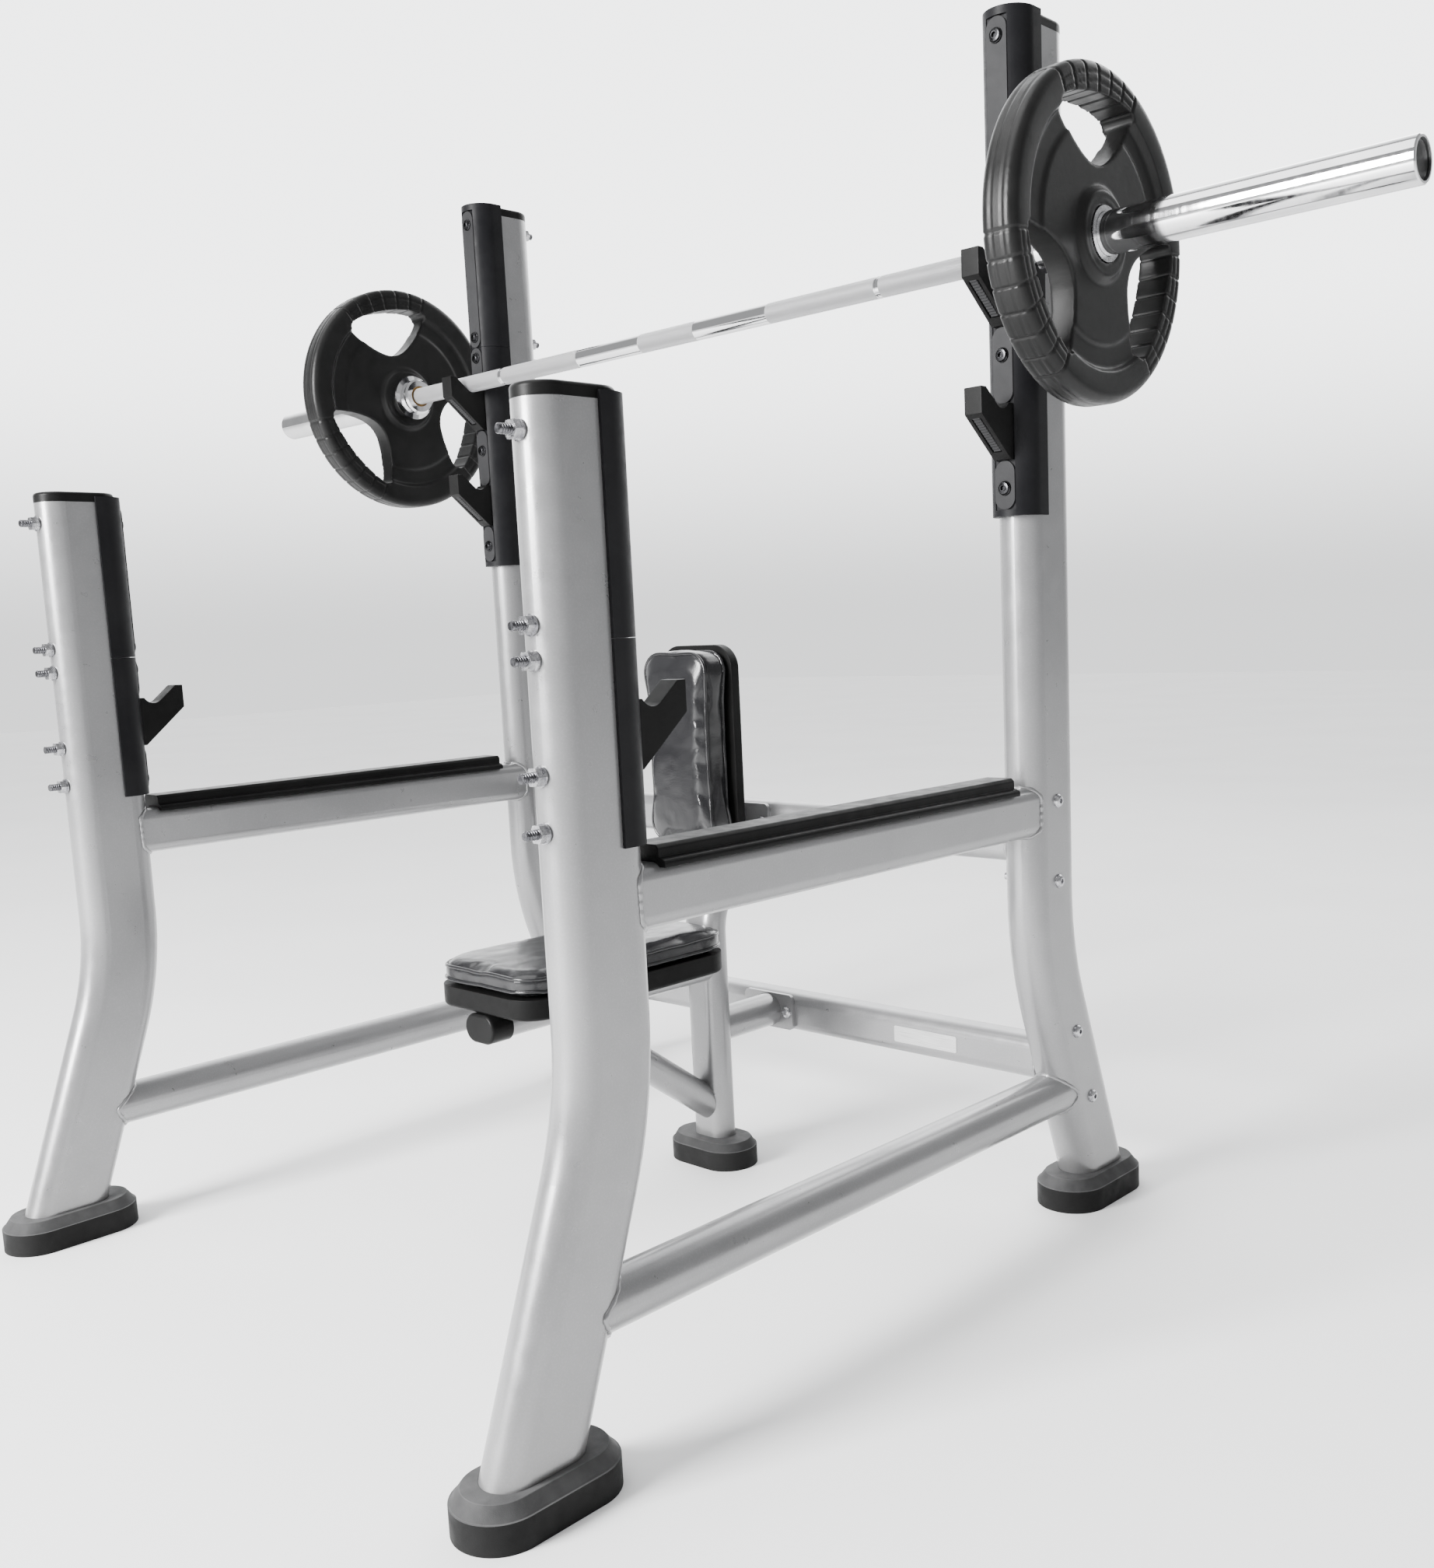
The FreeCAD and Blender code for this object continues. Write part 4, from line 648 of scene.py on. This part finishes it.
def finish_cushion(cushion, node):
    """Round off the swollen mesh and put it in the CAD cushion's place."""
    smooth = cushion.modifiers.new("finer", "SUBSURF")
    smooth.levels = 1
    smooth.render_levels = 1
    bpy.context.view_layer.objects.active = cushion
    bpy.ops.object.modifier_apply(modifier=smooth.name)
    for polygon in cushion.data.polygons:
        polygon.use_smooth = True
    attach(cushion, "frame")
    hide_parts(node)


piping_radius = 0.0026
piping_proud = 0.0006


def piping(name, cushion, path):
    """A welt cord sewn along the path, drawn in to the cushion's own surface."""
    form = bmesh.new()
    form.from_mesh(cushion.data)
    tree = BVHTree.FromBMesh(form)
    form.free()
    snapped = []
    for point in path:
        place, normal, _, _ = tree.find_nearest(point)
        snapped.append(place + normal * piping_proud)
    for _ in range(3):
        ahead = snapped[1:] + snapped[:1]
        snapped = [(snapped[index - 1] + snapped[index] * 2 + ahead[index]) / 4
                   for index in range(len(snapped))]
    curve = bpy.data.curves.new(name, "CURVE")
    curve.dimensions = "3D"
    curve.bevel_depth = piping_radius
    curve.bevel_resolution = 3
    spline = curve.splines.new("POLY")
    spline.points.add(len(snapped) - 1)
    for knot, point in zip(spline.points, snapped):
        knot.co = (*point, 1.0)
    spline.use_cyclic_u = True
    shape = bpy.data.objects.new(name + "_curve", curve)
    bpy.context.collection.objects.link(shape)
    mesh = bpy.data.meshes.new_from_object(shape)
    bpy.data.objects.remove(shape)
    mesh.name = name
    for polygon in mesh.polygons:
        polygon.use_smooth = True
    mesh.materials.clear()
    mesh.materials.append(vinyl)
    cord = bpy.data.objects.new(name, mesh)
    bpy.context.collection.objects.link(cord)
    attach(cord, "frame")


board_plastic = moulded_plastic("board_plastic", (0.003, 0.003, 0.003), (0.006, 0.006, 0.006),
                                0.40, 0.56, 900.0, 0.00015)
soften("seat_board", 0.0012, board_plastic)
seat = upholstered("seat_cushion", "seat_pad", (0.006, 0.006, 0.004))
low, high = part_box("seat_pad")
settle_on(seat, 2, low[2], 1.0)
finish_cushion(seat, "seat_pad")
middle = (Vector(low) + Vector(high)) / 2
half_wide = (high[0] - low[0]) / 2
half_long = (high[1] - low[1]) / 2
seat_corner = 0.050
for name, level, inset in (("seat_top_piping", high[2] - 0.004, 0.006),
                           ("seat_low_piping", low[2] + 0.005, 0.0)):
    outline = rounded_outline(half_wide - inset, half_long - inset, seat_corner - inset, 12)
    piping(name, seat, [Vector((middle.x + x, middle.y + y, level)) for x, y in outline])

# ---------------------------------------------------------------------------------------------
# Back cushion: the same make, upright on its own board behind the lifter's shoulders.  The
# piped seam runs round the front panel, and the dark backing board shows behind.
# ---------------------------------------------------------------------------------------------
soften("back_board", 0.0012, board_plastic)
back = upholstered("back_cushion", "back_pad", (0.005, 0.005, 0.005))
low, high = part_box("back_pad")
settle_on(back, 1, high[1], -1.0)
finish_cushion(back, "back_pad")
middle = (Vector(low) + Vector(high)) / 2
half_wide = (high[0] - low[0]) / 2
half_tall = (high[2] - low[2]) / 2
back_corner = 0.035
for name, depth, inset in (("back_front_piping", low[1] + 0.006, 0.007),
                           ("back_rear_piping", high[1] - 0.006, 0.0)):
    outline = rounded_outline(half_wide - inset, half_tall - inset, back_corner - inset / 2, 12)
    piping(name, back, [Vector((middle.x + x, depth, middle.z + z)) for x, z in outline])

# ---------------------------------------------------------------------------------------------
# Bar: a chromed steel shaft.  Crossed knurling grips the hands outside and in the middle, the
# stretches between are smooth, and a narrow ring marks the grip on each side.
# ---------------------------------------------------------------------------------------------
bar_low, bar_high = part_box("bar_shaft")
bar_y = (bar_low[1] + bar_high[1]) / 2
bar_z = (bar_low[2] + bar_high[2]) / 2


def chrome_plate(name, rough, hairlines):
    """Bright chrome with fine turning marks round it."""
    finish, shader = new_finish(name, (0.80, 0.80, 0.81), rough, 1.0)
    tint = blend_colours(finish, speckle(finish, 20.0, 4.0),
                         (0.72, 0.72, 0.73), (0.86, 0.86, 0.87))
    finish.node_tree.links.new(tint, shader.inputs["Base Color"])
    vary_roughness(finish, shader, speckle(finish, hairlines, 3.0, stretch=(1.0, 0.05, 0.05)),
                   rough * 0.7, rough * 1.6)
    return finish, shader


def math_step(finish, operation, first, second=None):
    """One sum on values that vary over the surface, or on plain numbers."""
    step = finish.node_tree.nodes.new("ShaderNodeMath")
    step.operation = operation
    for index, value in enumerate((first, second)):
        if value is None:
            continue
        if isinstance(value, float):
            step.inputs[index].default_value = value
        else:
            finish.node_tree.links.new(value, step.inputs[index])
    return step.outputs["Value"]


middle_knurl_end = 0.060
hand_knurl_start = 0.206
ring_place = 0.405
ring_half_wide = 0.004
knurl_starts = 60.0
knurl_pitch = 3600.0


def knurled_chrome():
    """Chrome knurled in the middle and for the hands, with a smooth ring at each hand."""
    finish, shader = chrome_plate("knurled_chrome", 0.10, 300.0)
    along = coordinate(finish, "X")
    away = math_step(finish, "ABSOLUTE", along)
    middle = math_step(finish, "LESS_THAN", away, middle_knurl_end)
    outer = math_step(finish, "GREATER_THAN", away, hand_knurl_start)
    ring = math_step(finish, "COMPARE", away, ring_place)
    ring.node.inputs[2].default_value = ring_half_wide
    knurl = math_step(finish, "SUBTRACT", math_step(finish, "ADD", middle, outer), ring)
    above = math_step(finish, "SUBTRACT", coordinate(finish, "Z"), bar_z)
    behind = math_step(finish, "SUBTRACT", coordinate(finish, "Y"), bar_y)
    angle = math_step(finish, "ARCTAN2", above, behind)
    turns = math_step(finish, "MULTIPLY", angle, knurl_starts)
    pitch = math_step(finish, "MULTIPLY", along, knurl_pitch)
    right_hand = math_step(finish, "SINE", math_step(finish, "ADD", pitch, turns))
    left_hand = math_step(finish, "SINE", math_step(finish, "SUBTRACT", pitch, turns))
    diamonds = math_step(finish, "MAXIMUM", right_hand, left_hand)
    height = math_step(finish, "MULTIPLY", diamonds, knurl)
    raise_surface(finish, shader, height, 0.0005)
    roughness = spread(finish, knurl, 0.0, 1.0, 0.08, 0.42)
    finish.node_tree.links.new(roughness, shader.inputs["Roughness"])
    shade = mix_colours(finish, knurl, (0.80, 0.80, 0.81), (0.56, 0.56, 0.57))
    finish.node_tree.links.new(shade, shader.inputs["Base Color"])
    return finish


coat_node("bar_shaft", knurled_chrome())

# ---------------------------------------------------------------------------------------------
# Sleeves: bright chromed tubes that spin on the shaft on bronze bushes, with a turned shoulder
# for the weights and a black cap in the open end.  The weights' turned steel hub rings, which
# slide on them, are finished here too.
# ---------------------------------------------------------------------------------------------
sleeve_chrome = chrome_plate("sleeve_chrome", 0.07, 240.0)[0]
bronze, shader = new_finish("bush_bronze", (0.45, 0.28, 0.12), 0.40, 1.0)
vary_roughness(bronze, shader, speckle(bronze, 200.0, 3.0), 0.30, 0.50)
steel, shader = new_finish("turned_steel", (0.60, 0.60, 0.61), 0.25, 1.0)
steel_tint = blend_colours(steel, speckle(steel, 120.0, 4.0),
                           (0.46, 0.46, 0.47), (0.68, 0.68, 0.69))
steel.node_tree.links.new(steel_tint, shader.inputs["Base Color"])
vary_roughness(steel, shader, speckle(steel, 400.0, 3.0), 0.18, 0.36)
for side in ("left", "right"):
    coat_node(side + "_sleeve", sleeve_chrome)
    coat_node(side + "_bushes", bronze)
    coat_node(side + "_end_cap", cap_plastic)
    coat_node(side + "_plate_hub", steel)

# ---------------------------------------------------------------------------------------------
# Weights: iron discs under a moulded black rubber skin, one on each sleeve.  Three openings
# leave the rim standing as handles, which carry grooved grips, and raised panels fill the web
# between them.
# ---------------------------------------------------------------------------------------------
rubber_skin = moulded_plastic("rubber_skin", (0.006, 0.006, 0.006), (0.011, 0.011, 0.011),
                              0.28, 0.42, 1000.0, 0.00012, shine=0.20)
low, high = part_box("right_plate")
weight_round = (high[2] - low[2]) / 2
weight_middle = (high[0] + low[0]) / 2
boss_half = 0.0250
shoulder_half = 0.0205
panel_half = 0.0172
web_half = 0.0148
rim_half = 0.0222
rim_start = 0.158
rim_turn_start = 0.66


def eased(place, start, end, low, high):
    """From low to high as the place goes from start to end, level at both."""
    share = max(0.0, min(1.0, (place - start) / (end - start)))
    return low + (high - low) * share * share * (3 - 2 * share)


def weight_half_thickness(radius):
    """Half the rubber's thickness at a radius: hub boss, raised panels, web, step and rim."""
    if radius < 0.052:
        groove = 0.0009 * math.exp(-((radius - 0.0415) / 0.0010) ** 2)
        return eased(radius, 0.0475, 0.0520, boss_half, shoulder_half) - groove
    if radius < 0.061:
        return eased(radius, 0.052, 0.0565, shoulder_half, panel_half)
    if radius < 0.135:
        return eased(radius, 0.1225, 0.1265, panel_half, web_half)
    if radius < rim_start:
        return eased(radius, 0.1495, 0.1565, web_half, rim_half)
    across = (radius - rim_start) / (weight_round - rim_start)
    crown = rim_half + 0.0009 * math.sin(math.pi * across)
    if across > rim_turn_start:
        turn = (across - rim_turn_start) / (1.0 - rim_turn_start)
        crown -= 0.0100 * (1.0 - math.sqrt(max(0.0, 1.0 - turn * turn)))
    return crown


# Half of the hand opening's corners, in millimetres across and up from the hub.
half_opening = [(13.0, 78.0), (40.0, 93.0), (66.0, 115.0), (82.0, 134.0), (75.0, 145.0),
                (44.0, 153.0)]


def opening_outline():
    """The hand opening with its corners rounded, in metres from the hub, straight up."""
    near, far = half_opening, [(-x, z) for x, z in reversed(half_opening)]
    corners = [far[-1]] + near + [(0.0, 157.0)] + far[:-1]
    points = [Vector((x / 1000, z / 1000)) for x, z in corners]
    for _ in range(2):
        cut = []
        for index, point in enumerate(points):
            following = points[(index + 1) % len(points)]
            cut.append(point.lerp(following, 0.25))
            cut.append(point.lerp(following, 0.75))
        points = cut
    return points


def weight_disc():
    """The solid disc of the weight, as one closed skin about its own middle, axis along X."""
    around = 360
    form = bmesh.new()
    # The rows of points stand closest where the section steps and where the edge turns.
    radii = [0.0320, 0.0350] + [0.038 + 0.0008 * step for step in range(26)]
    radii += [0.062 + 0.005 * step for step in range(12)]
    radii += [0.1215 + 0.001 * step for step in range(7)]
    radii += [0.132, 0.138, 0.144] + [0.148 + 0.001 * step for step in range(11)]
    radii += [0.162, 0.166, 0.170, 0.174]
    radii += [weight_round - 0.0135 * (1 - math.sin(math.pi / 2 * step / 9)) for step in range(10)]
    radii = sorted(set(round(radius, 6) for radius in radii))

    def join_rows(first, second):
        for step in range(around):
            ahead = (step + 1) % around
            form.faces.new((first[step], first[ahead], second[ahead], second[step]))

    flanks = []
    for side in (-1.0, 1.0):
        rows = []
        for radius in radii:
            x = side * weight_half_thickness(radius)
            angles = [2 * math.pi * step / around for step in range(around)]
            rows.append([form.verts.new((x, radius * math.sin(angle), radius * math.cos(angle)))
                         for angle in angles])
        for row, following in zip(rows, rows[1:]):
            join_rows(row, following)
        flanks.append(rows)
    for index in (0, -1):
        join_rows(flanks[0][index], flanks[1][index])
    bmesh.ops.recalc_face_normals(form, faces=form.faces)
    return place_mesh(form, "weight_skin")


cutter_half = 0.040


def opening_cutter(turn):
    """A slab of the opening's outline, thicker than the weight and turned round the hub."""
    form = bmesh.new()
    rings = []
    for x in (-cutter_half, cutter_half):
        ring = []
        for point in opening_outline():
            y = point.x * math.cos(turn) + point.y * math.sin(turn)
            z = -point.x * math.sin(turn) + point.y * math.cos(turn)
            ring.append(form.verts.new((x, y, z)))
        rings.append(ring)
    closed_slab(form, *rings)
    return place_mesh(form, "opening_cutter")


edge_start = 0.1885
edge_line = 0.0075
grip_start = 0.150
grip_half_angle = math.radians(27.5)
grip_spacing = math.radians(9.0)
face_end = 0.188
grip_rings = (0.1665, 0.1765)


def line_depth(depth, off, half_wide):
    """Depth of a soft-edged moulded line, at a distance off its middle."""
    return depth * math.exp(-(off / half_wide) ** 2)


def grip_groove(radius, angle, across):
    """Depth of the moulded lines: grips beside each opening, and two lines round the edge."""
    line = 0.0
    if radius > edge_start:
        line = line_depth(0.0011, abs(across) - edge_line, 0.0011)
    third = (angle + math.pi / 3) % (2 * math.pi / 3) - math.pi / 3
    if radius < grip_start or abs(third) > grip_half_angle:
        return line
    off = abs((third + grip_spacing / 2) % grip_spacing - grip_spacing / 2) * radius
    groove = line_depth(0.0019, off, 0.0014)
    if radius < face_end:
        for ring in grip_rings:
            groove = max(groove, line_depth(0.0013, radius - ring, 0.0011))
    return max(groove, line)


disc = weight_disc()
bpy.context.view_layer.objects.active = disc
for third in range(3):
    cutter = opening_cutter(2 * math.pi / 3 * third)
    cut = disc.modifiers.new("opening", "BOOLEAN")
    cut.operation = "DIFFERENCE"
    cut.solver = "EXACT"
    cut.object = cutter
    bpy.ops.object.modifier_apply(modifier=cut.name)
    bpy.data.objects.remove(cutter)
even = disc.modifiers.new("even_skin", "REMESH")
even.mode = "VOXEL"
even.voxel_size = 0.0020
bpy.ops.object.modifier_apply(modifier=even.name)
rounding = disc.modifiers.new("moulded_edges", "SMOOTH")
rounding.factor = 0.5
rounding.iterations = 3
bpy.ops.object.modifier_apply(modifier=rounding.name)
disc.data.update()
normals = [vertex.normal.copy() for vertex in disc.data.vertices]
for vertex, normal in zip(disc.data.vertices, normals):
    x, y, z = vertex.co
    vertex.co -= normal * grip_groove(math.hypot(y, z), math.atan2(y, z), x)
for polygon in disc.data.polygons:
    polygon.use_smooth = True
disc.data.materials.clear()
disc.data.materials.append(rubber_skin)

# Each weight has come to rest turned a few degrees on its sleeve.
for side, sign, rest_turn in (("right", 1.0, 3.0), ("left", -1.0, 12.0)):
    mesh = disc.data.copy()
    mesh.name = side + "_weight_skin"
    turn = Matrix.Rotation(math.radians(rest_turn), 4, "X")
    mesh.transform(Matrix.Translation((sign * weight_middle, bar_y, bar_z)) @ turn)
    skin = bpy.data.objects.new(side + "_weight_skin", mesh)
    bpy.context.collection.objects.link(skin)
    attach(skin, side + "_weight")
    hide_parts(side + "_plate")
bpy.data.objects.remove(disc)

# ---------------------------------------------------------------------------------------------
# Studio: a plain pale floor, soft light all round, two soft boxes and a broad glow overhead,
# and the camera.
# ---------------------------------------------------------------------------------------------
floor_finish, shader = new_finish("pale_floor", (0.92, 0.92, 0.92), 0.75)
floor_tint = blend_colours(floor_finish, speckle(floor_finish, 1.5, 3.0), (0.90, 0.90, 0.90),
                           (0.94, 0.94, 0.94))
floor_finish.node_tree.links.new(floor_tint, shader.inputs["Base Color"])
form = bmesh.new()
bmesh.ops.create_grid(form, x_segments=8, y_segments=8, size=16.0)
floor = place_mesh(form, "floor", floor_finish)

world = bpy.data.worlds.new("studio")
world.use_nodes = True
tree = world.node_tree
surround = tree.nodes["Background"]
surround.inputs["Color"].default_value = (0.98, 0.99, 1.0, 1.0)
# The wall behind the bench is lit, more so higher up, and the rest of the studio is dimmer.
place = tree.nodes.new("ShaderNodeTexCoord")
towards = tree.nodes.new("ShaderNodeVectorMath")
towards.operation = "DOT_PRODUCT"
towards.inputs[1].default_value = (-0.69, 0.72, 0.0)
tree.links.new(place.outputs["Generated"], towards.inputs[0])
wall = tree.nodes.new("ShaderNodeMapRange")
wall.interpolation_type = "SMOOTHSTEP"
wall.inputs["From Min"].default_value = 0.35
wall.inputs["From Max"].default_value = 0.85
tree.links.new(towards.outputs["Value"], wall.inputs["Value"])
parts = tree.nodes.new("ShaderNodeSeparateXYZ")
tree.links.new(place.outputs["Generated"], parts.inputs["Vector"])
rise = tree.nodes.new("ShaderNodeMapRange")
rise.interpolation_type = "SMOOTHSTEP"
rise.inputs["From Min"].default_value = 0.0
rise.inputs["From Max"].default_value = 0.20
rise.inputs["To Min"].default_value = 1.5
rise.inputs["To Max"].default_value = 4.2
tree.links.new(parts.outputs["Z"], rise.inputs["Value"])
power = tree.nodes.new("ShaderNodeMix")
power.inputs["A"].default_value = 0.45
tree.links.new(wall.outputs["Result"], power.inputs["Factor"])
tree.links.new(rise.outputs["Result"], power.inputs["B"])
tree.links.new(power.outputs["Result"], surround.inputs["Strength"])
bpy.context.scene.world = world


def soft_box(name, place, aim, width, height, power):
    """A rectangular area light at a place, turned to face its aim."""
    light = bpy.data.lights.new(name, "AREA")
    light.shape = "RECTANGLE"
    light.size = width
    light.size_y = height
    light.energy = power
    holder = bpy.data.objects.new(name, light)
    holder.location = place
    holder.rotation_euler = (Vector(aim) - Vector(place)).to_track_quat("-Z", "Y").to_euler()
    bpy.context.collection.objects.link(holder)


soft_box("key_light", (-0.7, -4.6, 2.5), (0.1, -0.2, 0.7), 1.6, 2.6, 1000.0)
soft_box("back_light", (0.2, 3.8, 3.2), (0.0, 0.0, 0.9), 3.0, 1.6, 60.0)
overhead = bpy.data.lights.new("overhead", "SUN")
overhead.energy = 1.9
overhead.angle = math.radians(50.0)
holder = bpy.data.objects.new("overhead", overhead)
holder.rotation_euler = Vector((0.20, 0.30, -1.0)).to_track_quat("-Z", "Y").to_euler()
bpy.context.collection.objects.link(holder)

camera_data = bpy.data.cameras.new("camera")
camera_data.lens = 34.583
camera_data.sensor_width = 36.0
camera_data.shift_x = -0.01832
camera_data.shift_y = 0.03657
camera = bpy.data.objects.new("camera", camera_data)
yaw = math.radians(43.867)
pitch = math.radians(8.214)
roll = math.radians(-2.609)
forward = Vector((-math.sin(yaw) * math.cos(pitch), math.cos(yaw) * math.cos(pitch),
                  -math.sin(pitch)))
level_right = Vector((math.cos(yaw), math.sin(yaw), 0.0))
level_up = level_right.cross(forward)
right = math.cos(roll) * level_right + math.sin(roll) * level_up
up = -math.sin(roll) * level_right + math.cos(roll) * level_up
turn = Matrix((right, up, -forward)).transposed()
camera.matrix_world = Matrix.Translation((1.6913, -1.3359, 0.8434)) @ turn.to_4x4()
bpy.context.collection.objects.link(camera)
bpy.context.scene.camera = camera
